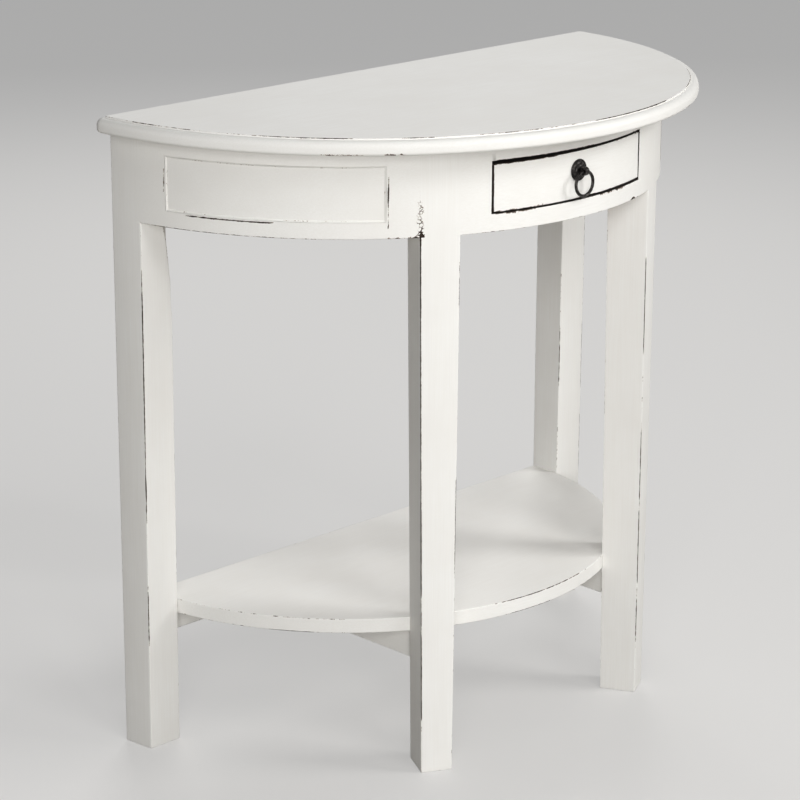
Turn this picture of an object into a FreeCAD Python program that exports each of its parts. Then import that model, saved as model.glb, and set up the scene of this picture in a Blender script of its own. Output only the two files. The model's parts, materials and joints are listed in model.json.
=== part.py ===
import FreeCAD, Part
import math
import os
import Sketcher

# Half-round wall table with a bowed drawer, a ring pull and a lower shelf.
# Millimetres, +Z up, back towards +Y. The origin lies on the floor below the middle of the table's box.

# Driving dimensions, in millimetres and degrees.
SIZES = {
    # Whole table and its top.
    "table_height": 750.0,
    "top_radius": 400.0,
    "top_overhang": 25.0,
    "top_depth": 410.0,
    "top_thickness": 18.0,
    "top_edge_inset": 10.0,
    "top_edge_step": 2.0,
    "top_edge_round": 8.0,
    "top_under_round": 4.0,
    # Curved apron: its arc's centre lies a little behind the table's back.
    "arc_setback": 12.5,
    "apron_height": 100.0,
    "apron_thickness": 22.0,
    "back_apron_thickness": 20.0,
    # Front legs stand radially, leg_angle degrees to either side of the front.
    "leg_angle": 28.2,
    "leg_width": 46.0,
    "leg_depth": 49.0,
    "foot_width": 37.0,
    "foot_depth": 44.0,
    "back_leg_width": 44.0,
    "back_leg_depth": 47.5,
    "back_foot_width": 41.0,
    "foot_round": 2.0,
    # Front bay round the drawer, and the inset panels of the side bays.
    "upper_rail_height": 21.0,
    "lower_rail_height": 20.0,
    "stile_width": 34.1,
    "panel_margin": 40.0,
    "panel_inset": 1.5,
    "panel_recess": 7.0,
    "panel_setback": 1.5,
    "panel_gap": 0.8,
    # Lower shelf, measured to its upper face, and what carries it.
    "shelf_height": 176.0,
    "shelf_thickness": 17.0,
    "shelf_notch": 2.0,
    "bearer_width": 22.0,
    "bearer_height": 36.0,
    "stretcher_thickness": 20.0,
    "stretcher_height": 30.0,
    # Drawer box.
    "drawer_rear_room": 72.5,
    "drawer_side_gap": 2.0,
    "drawer_top_gap": 4.2,
    "drawer_foot_gap": 1.8,
    "drawer_front_thickness": 20.0,
    "drawer_side_thickness": 11.0,
    "drawer_side_drop": 5.0,
    "drawer_back_thickness": 11.0,
    "drawer_bottom_thickness": 4.0,
    "drawer_groove_depth": 5.0,
    "drawer_groove_rise": 6.0,
    "drawer_groove_fit": 0.2,
    # Strips that carry and guide the drawer.
    "runner_inner_width": 24.0,
    "runner_height": 18.0,
    "guide_thickness": 9.0,
    "guide_height": 18.0,
    "stop_length": 12.0,
    "stop_width": 14.0,
    "stop_height": 16.0,
    # Blocks that hold the top.
    "block_length": 45.0,
    "block_depth": 24.0,
    "block_height": 24.0,
    "back_block_gap": 16.0,
    # Screws, dowels and pins.
    "screw_diameter": 4.0,
    "screw_head_diameter": 8.0,
    "screw_head_height": 2.6,
    "screw_bite": 11.0,
    "screw_clearance": 0.15,
    "dowel_diameter": 8.0,
    "dowel_length": 30.0,
    "dowel_clearance": 0.1,
    "pin_diameter": 1.8,
    "pin_length": 22.0,
    "pin_clearance": 0.05,
    # Ring pull.
    "pull_offset": 5.0,
    "pull_rise": 5.0,
    "plate_radius": 12.5,
    "plate_height": 4.0,
    "post_diameter": 5.0,
    "post_clearance": 0.15,
    "eye_width": 6.0,
    "eye_wall": 2.3,
    "eye_play": 0.8,
    "eye_clearance": 0.4,
    "ring_radius": 14.0,
    "ring_wire_radius": 1.8,
    "washer_radius": 7.0,
    "washer_thickness": 1.2,
    "nut_radius": 4.6,
    "nut_height": 4.0,
    "post_end": 2.0,
    # Room left for glue, and how far a cutting tool runs past what it cuts.
    "glue_gap": 0.1,
    "overrun": 5.0,
}

# Heights of the two dowels of an apron joint, as shares of the apron's height.
APRON_DOWEL_SHARES = (0.25, 0.75)
# Heights of the pins in a drawer side, as shares of the side's height, and of those in the
# drawer's bottom as shares of the drawer's half width.
SIDE_PIN_SHARES = (0.4, 0.8)
BOTTOM_PIN_SHARES = (-0.5, 0.5)
# Places of the screws along a bearer's length.
BEARER_SCREW_SHARES = (0.3, 0.7)
# The half round keeps less than this share of the full round.
BACK_CUT_SHARE = 0.7
# Stepped and domed outline of the pull's backplate: shares of its radius and of its height.
PLATE_OUTLINE_SHARES = (
    (1.00, 0.22),
    (0.94, 0.38),
    (0.86, 0.40),
    (0.80, 0.32),
    (0.74, 0.50),
    (0.64, 0.62),
    (0.56, 0.58),
    (0.50, 0.80),
    (0.38, 1.00),
)

doc = FreeCAD.newDocument("demilune_table")
sheet = doc.addObject("Spreadsheet::Sheet", "size")
for row, (alias, value) in enumerate(SIZES.items(), start=1):
    sheet.set(f"A{row}", alias.replace("_", " "))
    sheet.set(f"B{row}", str(value))
    sheet.setAlias(f"B{row}", alias)
doc.recompute()

# Places that many pieces share, as expressions on the sheet.
BACK = "(size.top_depth / 2)"
CENTRE = f"({BACK} + size.arc_setback)"
UNDER = "(size.table_height - size.top_thickness)"
APRON_FOOT = f"({UNDER} - size.apron_height)"
RADIUS = "(size.top_radius - size.top_overhang)"
APRON_INSIDE = f"({RADIUS} - size.apron_thickness)"
APRON_MIDDLE = f"({RADIUS} - size.apron_thickness / 2)"
OPENING_FOOT = f"({APRON_FOOT} + size.lower_rail_height)"
OPENING_HEAD = f"({UNDER} - size.upper_rail_height)"
BACK_APRON_FACE = f"({BACK} - size.back_apron_thickness)"
BACK_LEG_INSIDE = f"({RADIUS} - size.back_leg_depth)"
SHELF_UNDER = "(size.shelf_height - size.shelf_thickness)"
LEG_EDGE_X = (
    f"(sqrt({RADIUS} ^ 2 - (size.leg_width / 2) ^ 2) * sin(size.leg_angle)"
    " - size.leg_width / 2 * cos(size.leg_angle))"
)
OPENING_HALF = f"({LEG_EDGE_X} - size.stile_width)"
LEG_DEPTH_AT_SHELF = (
    f"(size.foot_depth + (size.leg_depth - size.foot_depth) * size.shelf_height / {APRON_FOOT})"
)
LEG_INSIDE_AT_SHELF = f"({RADIUS} - {LEG_DEPTH_AT_SHELF})"
BEARER_X = f"({LEG_INSIDE_AT_SHELF} * sin(size.leg_angle))"
LEG_INSIDE_Y = f"({CENTRE} - {LEG_INSIDE_AT_SHELF} * cos(size.leg_angle))"
STRETCHER_FACE = f"({BACK} - size.stretcher_thickness)"
DRAWER_HALF = f"({OPENING_HALF} - size.drawer_side_gap)"
DRAWER_INSIDE_HALF = f"({DRAWER_HALF} - size.drawer_side_thickness)"
DRAWER_BACK = f"({BACK_APRON_FACE} - size.drawer_rear_room)"
DRAWER_FRONT_INSIDE = f"({RADIUS} - size.drawer_front_thickness)"
DRAWER_SIDE_HEAD = f"({OPENING_HEAD} - size.drawer_side_drop)"
GROOVE_FOOT = f"({OPENING_FOOT} + size.drawer_groove_rise)"
GROOVE_HEAD = f"({GROOVE_FOOT} + size.drawer_bottom_thickness + size.drawer_groove_fit)"
BOTTOM_HALF = f"({DRAWER_INSIDE_HALF} + size.drawer_groove_depth - size.drawer_groove_fit)"
PULL_FACE = f"({CENTRE} - {RADIUS} - size.glue_gap)"
PULL_HEIGHT = f"(({OPENING_FOOT} + {OPENING_HEAD}) / 2 + size.pull_rise)"
EYE_HOLE_RADIUS = "(size.ring_wire_radius + size.eye_play)"
EYE_RADIUS = f"({EYE_HOLE_RADIUS} + size.eye_wall)"
EYE_Y = f"({PULL_FACE} - size.plate_height - size.eye_clearance - {EYE_RADIUS})"
WASHER_FACE = (
    f"({CENTRE} - sqrt({DRAWER_FRONT_INSIDE} ^ 2 - (size.pull_offset + size.washer_radius) ^ 2)"
    " + size.glue_gap)"
)

AXIS_X = FreeCAD.Vector(1, 0, 0)
AXIS_Y = FreeCAD.Vector(0, 1, 0)
QUARTER_TURN = 90


def number(expression):
    """Value of an expression on the sheet."""
    value = sheet.evalExpression(expression)
    return float(getattr(value, "Value", value))


def add(kind, name, **bindings):
    """New object of the document, its properties bound to expressions."""
    item = doc.addObject(kind, name)
    for prop, expression in bindings.items():
        item.setExpression(prop, expression)
    return item


def place(item, x="0", y="0", z="0", turn=None):
    """Puts an object at a point, turned about the upright axis by an angle in degrees."""
    for letter, expression in zip("xyz", (x, y, z)):
        item.setExpression(f"Placement.Base.{letter}", expression)
    if turn is not None:
        item.setExpression("Placement.Rotation.Angle", turn)
    return item


def lay(item, axis, x="0", y="0", z="0"):
    """Puts an object at a point, turned a quarter about a level axis: Y lays its Z along +X, X along -Y."""
    item.Placement = FreeCAD.Placement(FreeCAD.Vector(), FreeCAD.Rotation(axis, QUARTER_TURN))
    return place(item, x, y, z)


def box(name, x_low, x_high, y_low, y_high, z_low, z_high):
    """Box between two corners."""
    item = add(
        "Part::Box",
        name,
        Length=f"{x_high} - ({x_low})",
        Width=f"{y_high} - ({y_low})",
        Height=f"{z_high} - ({z_low})",
    )
    return place(item, x_low, y_low, z_low)


def upright(name, radius, z_low, z_high, x="0", y="0"):
    """Round bar that stands along Z."""
    item = add("Part::Cylinder", name, Radius=radius, Height=f"{z_high} - ({z_low})")
    return place(item, x, y, z_low)


def arc_core(name, radius, z_low=APRON_FOOT, z_high=UNDER):
    """Full round about the apron's centre, used to trim pieces to the curve."""
    return upright(name, radius, z_low, z_high, y=CENTRE)


def sector(name, outer, inner, z_low, z_high, start, span):
    """Curved board about the apron's centre; angles in degrees, counted anticlockwise from +X."""
    solid = add("Part::Cylinder", f"{name}_round", Radius=outer, Height=f"{z_high} - ({z_low})", Angle=span)
    place(solid, y=CENTRE, z=z_low, turn=start)
    hollow = arc_core(f"{name}_hollow", inner, f"{z_low} - size.overrun", f"{z_high} + size.overrun")
    return cut(name, solid, hollow)


def group(name, items):
    """Several solids in one node."""
    item = doc.addObject("Part::Compound", name)
    item.Links = list(items)
    return item


def pair(kind, name, base, tool):
    """One of the two-shape booleans."""
    item = doc.addObject(kind, name)
    item.Base = base
    item.Tool = tool
    return item


def cut(name, base, *tools):
    """Base less all the tools."""
    tool = tools[0] if len(tools) == 1 else group(f"{name}_tools", tools)
    return pair("Part::Cut", name, base, tool)


def common(name, base, tool):
    """What two shapes share."""
    return pair("Part::Common", name, base, tool)


def fuse(name, *items):
    """Shapes joined into one solid."""
    item = doc.addObject("Part::MultiFuse", name)
    item.Shapes = list(items)
    item.Refine = True
    return item


def mirror(name, source):
    """The same piece on the other side of the table."""
    item = doc.addObject("Part::Mirroring", name)
    item.Source = source
    item.Normal = AXIS_X
    return item


def outline_sketch(body, name, role, points):
    """Closed outline on one of the body's planes. A point is two expressions; a third one is the
    radius of the quarter round, turning left, that leads on to the next point."""
    sketch = body.newObject("Sketcher::SketchObject", name)
    plane = next(item for item in body.Origin.OriginFeatures if item.Role == role)
    sketch.AttachmentSupport = [(plane, "")]
    sketch.MapMode = "FlatFace"
    places = [FreeCAD.Vector(number(point[0]), number(point[1]), 0) for point in points]
    for start, end, point in zip(places, places[1:] + places[:1], points):
        if len(point) == 2:
            sketch.addGeometry(Part.LineSegment(start, end))
            continue
        chord = end - start
        middle = (start + end) / 2
        outward = FreeCAD.Vector(chord.y, -chord.x, 0).normalize()
        rise = number(point[2]) * (1 - math.cos(math.pi / 4))
        sketch.addGeometry(Part.Arc(start, middle + outward * rise, end))
    count = len(points)
    for index in range(count):
        sketch.addConstraint(Sketcher.Constraint("Coincident", index, 2, (index + 1) % count, 1))
    for index, point in enumerate(points):
        for kind, axis, expression in (("DistanceX", -2, point[0]), ("DistanceY", -1, point[1])):
            value = number(expression)
            if value == 0:
                sketch.addConstraint(Sketcher.Constraint("PointOnObject", index, 1, axis))
                continue
            row = sketch.addConstraint(Sketcher.Constraint(kind, -1, 1, index, 1, value))
            sketch.setExpression(f"Constraints[{row}]", expression)
        if len(point) == 3:
            row = sketch.addConstraint(Sketcher.Constraint("Radius", index, number(point[2])))
            sketch.setExpression(f"Constraints[{row}]", point[2])
    return sketch


def revolve_upright(body, sketch, name):
    """Full turn of a sketch about its own upright axis."""
    feature = body.newObject("PartDesign::Revolution", name)
    feature.Profile = sketch
    feature.ReferenceAxis = (sketch, ["V_Axis"])
    feature.Angle = 360
    return feature


def screw(name, x, y, z_head, grip):
    """Pan-head screw driven upwards: its head lies under z_head, and it bites past its grip."""
    head = upright(
        f"{name}_head", "size.screw_head_diameter / 2", f"{z_head} - size.screw_head_height", z_head, x, y
    )
    shank = upright(
        f"{name}_shank", "size.screw_diameter / 2", z_head, f"{z_head} + {grip} + size.screw_bite", x, y
    )
    return fuse(name, head, shank)


def screw_hole(name, x, y, z_head, grip):
    """Hole for that screw's shank."""
    return upright(
        name,
        "size.screw_diameter / 2 + size.screw_clearance",
        f"{z_head} - size.screw_clearance",
        f"{z_head} + {grip} + size.screw_bite + size.screw_clearance",
        x,
        y,
    )


def dowel_and_bore(name, axis, x="0", y="0", z="0"):
    """Dowel centred on a joint, along +X or -Y, and the bore for it."""
    made = []
    for suffix, spare in (("", "0"), ("_bore", "size.dowel_clearance")):
        reach = f"(size.dowel_length / 2 + {spare})"
        radius = f"size.dowel_diameter / 2 + {spare}"
        bar = add("Part::Cylinder", name + suffix, Radius=radius, Height=f"2 * {reach}")
        if axis is AXIS_Y:
            lay(bar, AXIS_Y, f"{x} - {reach}", y, z)
        else:
            lay(bar, AXIS_X, x, f"{y} + {reach}", z)
        made.append(bar)
    return made


# Top: a full round with the stepped edge, cut off behind by a straight run of the same edge.
top_body = doc.addObject("PartDesign::Body", "top_board")
EDGE_BAND = "size.top_thickness - size.top_edge_step - size.top_edge_round"
round_sketch = outline_sketch(
    top_body,
    "top_round_outline",
    "XZ_Plane",
    [
        ("0", "0"),
        ("size.top_radius - size.top_under_round", "0", "size.top_under_round"),
        ("size.top_radius", "size.top_under_round"),
        ("size.top_radius", EDGE_BAND, "size.top_edge_round"),
        ("size.top_radius - size.top_edge_round", "size.top_thickness - size.top_edge_step"),
        ("size.top_radius - size.top_edge_inset", "size.top_thickness - size.top_edge_step"),
        ("size.top_radius - size.top_edge_inset", "size.top_thickness"),
        ("0", "size.top_thickness"),
    ],
)
top_round = revolve_upright(top_body, round_sketch, "top_round")
doc.recompute()
round_volume = top_round.Shape.Volume
BEHIND = "(size.top_depth - size.top_radius)"
FAR_BEHIND = "size.top_radius + size.overrun"
back_sketch = outline_sketch(
    top_body,
    "top_back_outline",
    "YZ_Plane",
    [
        (f"{BEHIND} - size.top_under_round", "-size.overrun"),
        (f"{BEHIND} - size.top_under_round", "0", "size.top_under_round"),
        (BEHIND, "size.top_under_round"),
        (BEHIND, EDGE_BAND, "size.top_edge_round"),
        (f"{BEHIND} - size.top_edge_round", "size.top_thickness - size.top_edge_step"),
        (f"{BEHIND} - size.top_edge_inset", "size.top_thickness - size.top_edge_step"),
        (f"{BEHIND} - size.top_edge_inset", "size.top_thickness + size.overrun"),
        (FAR_BEHIND, "size.top_thickness + size.overrun"),
        (FAR_BEHIND, "-size.overrun"),
    ],
)
back_cut = top_body.newObject("PartDesign::Pocket", "top_back_cut")
back_cut.Profile = back_sketch
back_cut.Type = "ThroughAll"
back_cut.Midplane = True
place(top_body, y="size.top_radius - size.top_depth / 2", z=UNDER)
doc.recompute()
if back_cut.Shape.Volume > round_volume * BACK_CUT_SHARE:
    raise RuntimeError("the back of the top was not cut off")

# Front leg: a straight block at the apron and a taper down to the foot, its outer face on the
# apron's curve. Modelled about the apron's centre, then turned to its place on the left.
leg_block = box(
    "front_left_leg_block",
    "-size.leg_width / 2",
    "size.leg_width / 2",
    f"-{RADIUS} - size.overrun",
    f"-({RADIUS} - size.leg_depth)",
    APRON_FOOT,
    UNDER,
)
leg_taper = add(
    "Part::Wedge",
    "front_left_leg_taper",
    Xmin="-size.foot_width / 2",
    Xmax="size.foot_width / 2",
    X2min="-size.leg_width / 2",
    X2max="size.leg_width / 2",
    Ymin="0",
    Ymax=APRON_FOOT,
    Zmin=f"{RADIUS} - size.foot_depth",
    Zmax=f"{RADIUS} + size.overrun",
    Z2min=f"{RADIUS} - size.leg_depth",
    Z2max=f"{RADIUS} + size.overrun",
)
lay(leg_taper, AXIS_X)
front_left_blank = fuse("front_left_leg_blank", leg_block, leg_taper)
place(front_left_blank, y=CENTRE, turn="-size.leg_angle")

# Back leg: square to the wall, tapered on its front face alone.
back_block = box(
    "back_left_leg_block",
    f"-{RADIUS} - size.overrun",
    f"-{BACK_LEG_INSIDE}",
    f"{BACK} - size.back_leg_width",
    BACK,
    APRON_FOOT,
    UNDER,
)
back_taper = add(
    "Part::Wedge",
    "back_left_leg_taper",
    Xmin=f"-{RADIUS} - size.overrun",
    Xmax=f"-{BACK_LEG_INSIDE}",
    X2min=f"-{RADIUS} - size.overrun",
    X2max=f"-{BACK_LEG_INSIDE}",
    Ymin="0",
    Ymax=APRON_FOOT,
    Zmin=f"-{BACK}",
    Zmax=f"-{BACK} + size.back_foot_width",
    Z2min=f"-{BACK}",
    Z2max=f"-{BACK} + size.back_leg_width",
)
lay(back_taper, AXIS_X)
back_left_blank = fuse("back_left_leg_blank", back_block, back_taper)
front_right_blank = mirror("front_right_leg_blank", front_left_blank)
back_right_blank = mirror("back_right_leg_blank", back_left_blank)

# Dowels of the left legs, and the bores for them.
dowels = []
bores = {}


def joint(key, name, axis, x="0", y="0", z="0"):
    """One dowel of the joint called key."""
    dowel, bore = dowel_and_bore(name, axis, x, y, z)
    dowels.append(dowel)
    bores.setdefault(key, []).append(bore)
    return dowel, bore


front_leg_dowels = []
front_leg_bores = []
for mark, z in (
    *[("side", f"{APRON_FOOT} + size.apron_height * {share}") for share in APRON_DOWEL_SHARES],
    ("lower", f"{APRON_FOOT} + size.lower_rail_height / 2"),
    ("upper", f"{UNDER} - size.upper_rail_height / 2"),
):
    sign = "-" if mark == "side" else ""
    dowel, bore = dowel_and_bore(
        f"{mark}_dowel", AXIS_Y, f"{sign}size.leg_width / 2", f"-{APRON_MIDDLE}", z
    )
    front_leg_dowels.append(dowel)
    front_leg_bores.append(bore)
front_dowels = group("front_leg_dowels", front_leg_dowels)
front_bores = group("front_leg_bores", front_leg_bores)
for item in (front_dowels, front_bores):
    place(item, y=CENTRE, turn="-size.leg_angle")

APRON_END_X = f"sqrt({APRON_MIDDLE} ^ 2 - (size.arc_setback + size.back_leg_width) ^ 2)"
BACK_APRON_MIDDLE = f"{BACK} - size.back_apron_thickness / 2"
for share in APRON_DOWEL_SHARES:
    z = f"{APRON_FOOT} + size.apron_height * {share}"
    joint("side_apron", "apron_end_dowel", AXIS_X, f"-{APRON_END_X}", f"{BACK} - size.back_leg_width", z)
    joint("back_apron", "back_apron_dowel", AXIS_Y, f"-{BACK_LEG_INSIDE}", BACK_APRON_MIDDLE, z)
STRETCHER_MIDDLE = f"{SHELF_UNDER} - size.stretcher_height / 2"
joint(
    "stretcher",
    "stretcher_dowel",
    AXIS_Y,
    f"-{BACK_LEG_INSIDE}",
    f"{BACK} - size.stretcher_thickness / 2",
    STRETCHER_MIDDLE,
)
joint("bearer_front", "bearer_front_dowel", AXIS_X, f"-{BEARER_X}", LEG_INSIDE_Y, STRETCHER_MIDDLE)
joint("bearer_back", "bearer_back_dowel", AXIS_X, f"-{BEARER_X}", STRETCHER_FACE, STRETCHER_MIDDLE)
left_dowels = group("left_dowels", [front_dowels, *dowels])
right_dowels = mirror("right_dowels", left_dowels)
leg_dowels = group("leg_dowels", [left_dowels, right_dowels])
front_bores_right = mirror("front_leg_bores_right", front_bores)


def round_foot(name, base):
    """Softens the edges of a leg where it meets the floor."""
    doc.recompute()
    soft = doc.addObject("Part::Fillet", name)
    soft.Base = base
    radius = number("size.foot_round")
    level = radius / 2
    soft.Edges = [
        (index, radius, radius)
        for index, edge in enumerate(base.Shape.Edges, start=1)
        if edge.BoundBox.ZMax < level
    ]
    return soft


front_left_core = common(
    "front_left_leg_core", front_left_blank, arc_core("front_leg_face", RADIUS, "0")
)
front_left_leg = cut(
    "front_left_leg",
    round_foot("front_left_leg_foot", front_left_core),
    front_bores,
    *bores["bearer_front"],
)
back_left_core = common(
    "back_left_leg_core", back_left_blank, arc_core("back_leg_face", RADIUS, "0")
)
back_left_leg = cut(
    "back_left_leg",
    round_foot("back_left_leg_foot", back_left_core),
    *bores["side_apron"],
    *bores["back_apron"],
    *bores["stretcher"],
)
front_right_leg = mirror("front_right_leg", front_left_leg)
back_right_leg = mirror("back_right_leg", back_left_leg)

# Side aprons: curved boards with a shallow recess that holds a curved panel.
BACK_LEG_ANGLE = f"(acos((size.arc_setback + size.back_leg_width / 2) / {RADIUS}) / 1 deg)"
PANEL_FRONT_ANGLE = (
    f"(size.leg_angle + asin(size.leg_width / 2 / {RADIUS}) / 1 deg"
    f" + size.panel_margin / {RADIUS} * 180 / pi)"
)
PANEL_BACK_ANGLE = (
    f"(acos((size.arc_setback + size.back_leg_width) / {RADIUS}) / 1 deg"
    f" - size.panel_margin / {RADIUS} * 180 / pi)"
)
PANEL_GAP_ANGLE = f"(size.panel_gap / {RADIUS} * 180 / pi)"
PANEL_FOOT = f"({OPENING_FOOT} + size.panel_inset)"
PANEL_HEAD = f"({OPENING_HEAD} - size.panel_inset)"
apron_board = cut(
    "left_apron_board",
    sector(
        "left_apron_arc",
        RADIUS,
        APRON_INSIDE,
        APRON_FOOT,
        UNDER,
        f"-90 - {BACK_LEG_ANGLE}",
        f"{BACK_LEG_ANGLE} - size.leg_angle",
    ),
    front_left_blank,
    back_left_blank,
)
panel_recess = sector(
    "left_panel_recess",
    f"{RADIUS} + size.overrun",
    f"{RADIUS} - size.panel_recess",
    f"{PANEL_FOOT} - size.panel_gap",
    f"{PANEL_HEAD} + size.panel_gap",
    f"-90 - {PANEL_BACK_ANGLE} - {PANEL_GAP_ANGLE}",
    f"{PANEL_BACK_ANGLE} - {PANEL_FRONT_ANGLE} + 2 * {PANEL_GAP_ANGLE}",
)
left_apron = cut("left_apron", apron_board, panel_recess, front_bores, *bores["side_apron"])
right_apron = mirror("right_apron", left_apron)
left_apron_panel = sector(
    "left_apron_panel",
    f"{RADIUS} - size.panel_setback",
    f"{RADIUS} - size.panel_recess + size.glue_gap",
    PANEL_FOOT,
    PANEL_HEAD,
    f"-90 - {PANEL_BACK_ANGLE}",
    f"{PANEL_BACK_ANGLE} - {PANEL_FRONT_ANGLE}",
)
right_apron_panel = mirror("right_apron_panel", left_apron_panel)


def front_arc(name, inner, z_low, z_high):
    """Curved board across the front bay, from one leg's middle to the other's."""
    return sector(
        name, RADIUS, inner, z_low, z_high, "-90 - size.leg_angle", "2 * size.leg_angle"
    )


def front_rail(name, z_low, z_high):
    """Curved rail between the front legs."""
    arc = front_arc(f"{name}_arc", APRON_INSIDE, z_low, z_high)
    rail = cut(f"{name}_board", arc, front_left_blank, front_right_blank)
    return cut(name, rail, front_bores, front_bores_right)


# Front bay: two rails and two stiles leave the drawer's opening.
front_upper_rail = front_rail("front_upper_rail", OPENING_HEAD, UNDER)
front_lower_rail = front_rail("front_lower_rail", APRON_FOOT, OPENING_FOOT)
left_half_bay = box(
    "front_left_stile_room",
    f"-{RADIUS}",
    f"-{OPENING_HALF}",
    f"{CENTRE} - {RADIUS} - size.overrun",
    CENTRE,
    OPENING_FOOT,
    OPENING_HEAD,
)
stile_board = common(
    "front_left_stile_board",
    front_arc("front_left_stile_arc", APRON_INSIDE, OPENING_FOOT, OPENING_HEAD),
    left_half_bay,
)
front_left_stile = cut("front_left_stile", stile_board, front_left_blank)
front_right_stile = mirror("front_right_stile", front_left_stile)

# Back apron and back stretcher run straight between the back legs.
back_bores = [*bores["back_apron"]]
back_bores_right = [mirror("back_apron_bore_right", bore) for bore in back_bores]
back_apron = cut(
    "back_apron",
    box(
        "back_apron_board",
        f"-{BACK_LEG_INSIDE}",
        BACK_LEG_INSIDE,
        BACK_APRON_FACE,
        BACK,
        APRON_FOOT,
        UNDER,
    ),
    *back_bores,
    *back_bores_right,
)
STRETCHER_FOOT = f"({SHELF_UNDER} - size.stretcher_height)"
BEARER_FOOT = f"({SHELF_UNDER} - size.bearer_height)"
bearer_room = f"({STRETCHER_FACE} - {LEG_INSIDE_Y})"
bearer_screws = [
    (
        f"left_bearer_screw_{row}",
        f"-{BEARER_X}",
        f"{LEG_INSIDE_Y} + {bearer_room} * {share}",
        BEARER_FOOT,
        "size.bearer_height",
    )
    for row, share in enumerate(BEARER_SCREW_SHARES, start=1)
]
stretcher_screw = (
    "left_stretcher_screw",
    f"-{BEARER_X} / 2",
    f"{BACK} - size.stretcher_thickness / 2",
    STRETCHER_FOOT,
    "size.stretcher_height",
)
bearer_holes = [screw_hole(f"{item[0]}_hole", *item[1:]) for item in bearer_screws]
stretcher_hole = screw_hole(f"{stretcher_screw[0]}_hole", *stretcher_screw[1:])
left_shelf_screws = group("left_shelf_screws", [screw(*item) for item in (*bearer_screws, stretcher_screw)])
shelf_screws = group("shelf_screws", [left_shelf_screws, mirror("right_shelf_screws", left_shelf_screws)])
left_shelf_holes = group("left_shelf_holes", [*bearer_holes, stretcher_hole])
right_shelf_holes = mirror("right_shelf_holes", left_shelf_holes)

stretcher_bores = [*bores["stretcher"], *bores["bearer_back"]]
back_stretcher = cut(
    "back_stretcher",
    box(
        "back_stretcher_board",
        f"-{BACK_LEG_INSIDE}",
        BACK_LEG_INSIDE,
        STRETCHER_FACE,
        BACK,
        STRETCHER_FOOT,
        SHELF_UNDER,
    ),
    *stretcher_bores,
    *[mirror(f"{bore.Name}_right", bore) for bore in stretcher_bores],
    stretcher_hole,
    mirror("stretcher_hole_right", stretcher_hole),
)
bearer_board = cut(
    "left_shelf_bearer_board",
    box(
        "left_shelf_bearer_bar",
        f"-{BEARER_X} - size.bearer_width / 2",
        f"-{BEARER_X} + size.bearer_width / 2",
        f"{LEG_INSIDE_Y} - size.bearer_width / 2 * tan(size.leg_angle) - size.shelf_notch",
        STRETCHER_FACE,
        BEARER_FOOT,
        SHELF_UNDER,
    ),
    front_left_blank,
)
left_shelf_bearer = cut(
    "left_shelf_bearer", bearer_board, *bores["bearer_front"], *bores["bearer_back"], *bearer_holes
)
right_shelf_bearer = mirror("right_shelf_bearer", left_shelf_bearer)

# Shelf: a part round about the apron's centre, let in a little against the legs.
shelf_round = common(
    "shelf_round",
    arc_core("shelf_disc", f"{LEG_INSIDE_AT_SHELF} + size.shelf_notch", SHELF_UNDER, "size.shelf_height"),
    box(
        "shelf_room",
        f"-{RADIUS}",
        RADIUS,
        f"{CENTRE} - {RADIUS}",
        BACK,
        SHELF_UNDER,
        "size.shelf_height",
    ),
)
leg_blanks = (front_left_blank, front_right_blank, back_left_blank, back_right_blank)
shelf_board = cut("shelf_board", shelf_round, *leg_blanks)
shelf = cut("shelf", shelf_board, left_shelf_holes, right_shelf_holes)


def strip(name, x_low, x_high, z_low, z_high):
    """Strip on the left of the drawer, from the curved front frame to the back apron."""
    bar = box(
        f"{name}_bar", x_low, x_high, f"{CENTRE} - {RADIUS}", BACK_APRON_FACE, z_low, z_high
    )
    trimmed = common(f"{name}_trimmed", bar, arc_core(f"{name}_front", f"{APRON_INSIDE} - size.glue_gap"))
    return cut(name, trimmed, front_left_blank)


# Strips that carry the drawer, keep it straight and stop it tipping, and the stops behind it.
STRIP_OUTSIDE = f"-{OPENING_HALF} - size.guide_thickness"
STRIP_INSIDE = f"-{OPENING_HALF} + size.runner_inner_width"
left_drawer_runner = strip(
    "left_drawer_runner", STRIP_OUTSIDE, STRIP_INSIDE, f"{OPENING_FOOT} - size.runner_height", OPENING_FOOT
)
left_drawer_guide = strip(
    "left_drawer_guide",
    STRIP_OUTSIDE,
    f"-{OPENING_HALF}",
    OPENING_FOOT,
    f"{OPENING_FOOT} + size.guide_height",
)
left_drawer_kicker = strip("left_drawer_kicker", STRIP_OUTSIDE, STRIP_INSIDE, OPENING_HEAD, UNDER)
left_drawer_stop = box(
    "left_drawer_stop",
    f"-{DRAWER_HALF}",
    f"-{DRAWER_HALF} + size.stop_width",
    DRAWER_BACK,
    f"{DRAWER_BACK} + size.stop_length",
    OPENING_FOOT,
    f"{OPENING_FOOT} + size.stop_height",
)
right_drawer_runner = mirror("right_drawer_runner", left_drawer_runner)
right_drawer_guide = mirror("right_drawer_guide", left_drawer_guide)
right_drawer_kicker = mirror("right_drawer_kicker", left_drawer_kicker)
drawer_stops = group("drawer_stops", [left_drawer_stop, mirror("right_drawer_stop", left_drawer_stop)])

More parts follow.
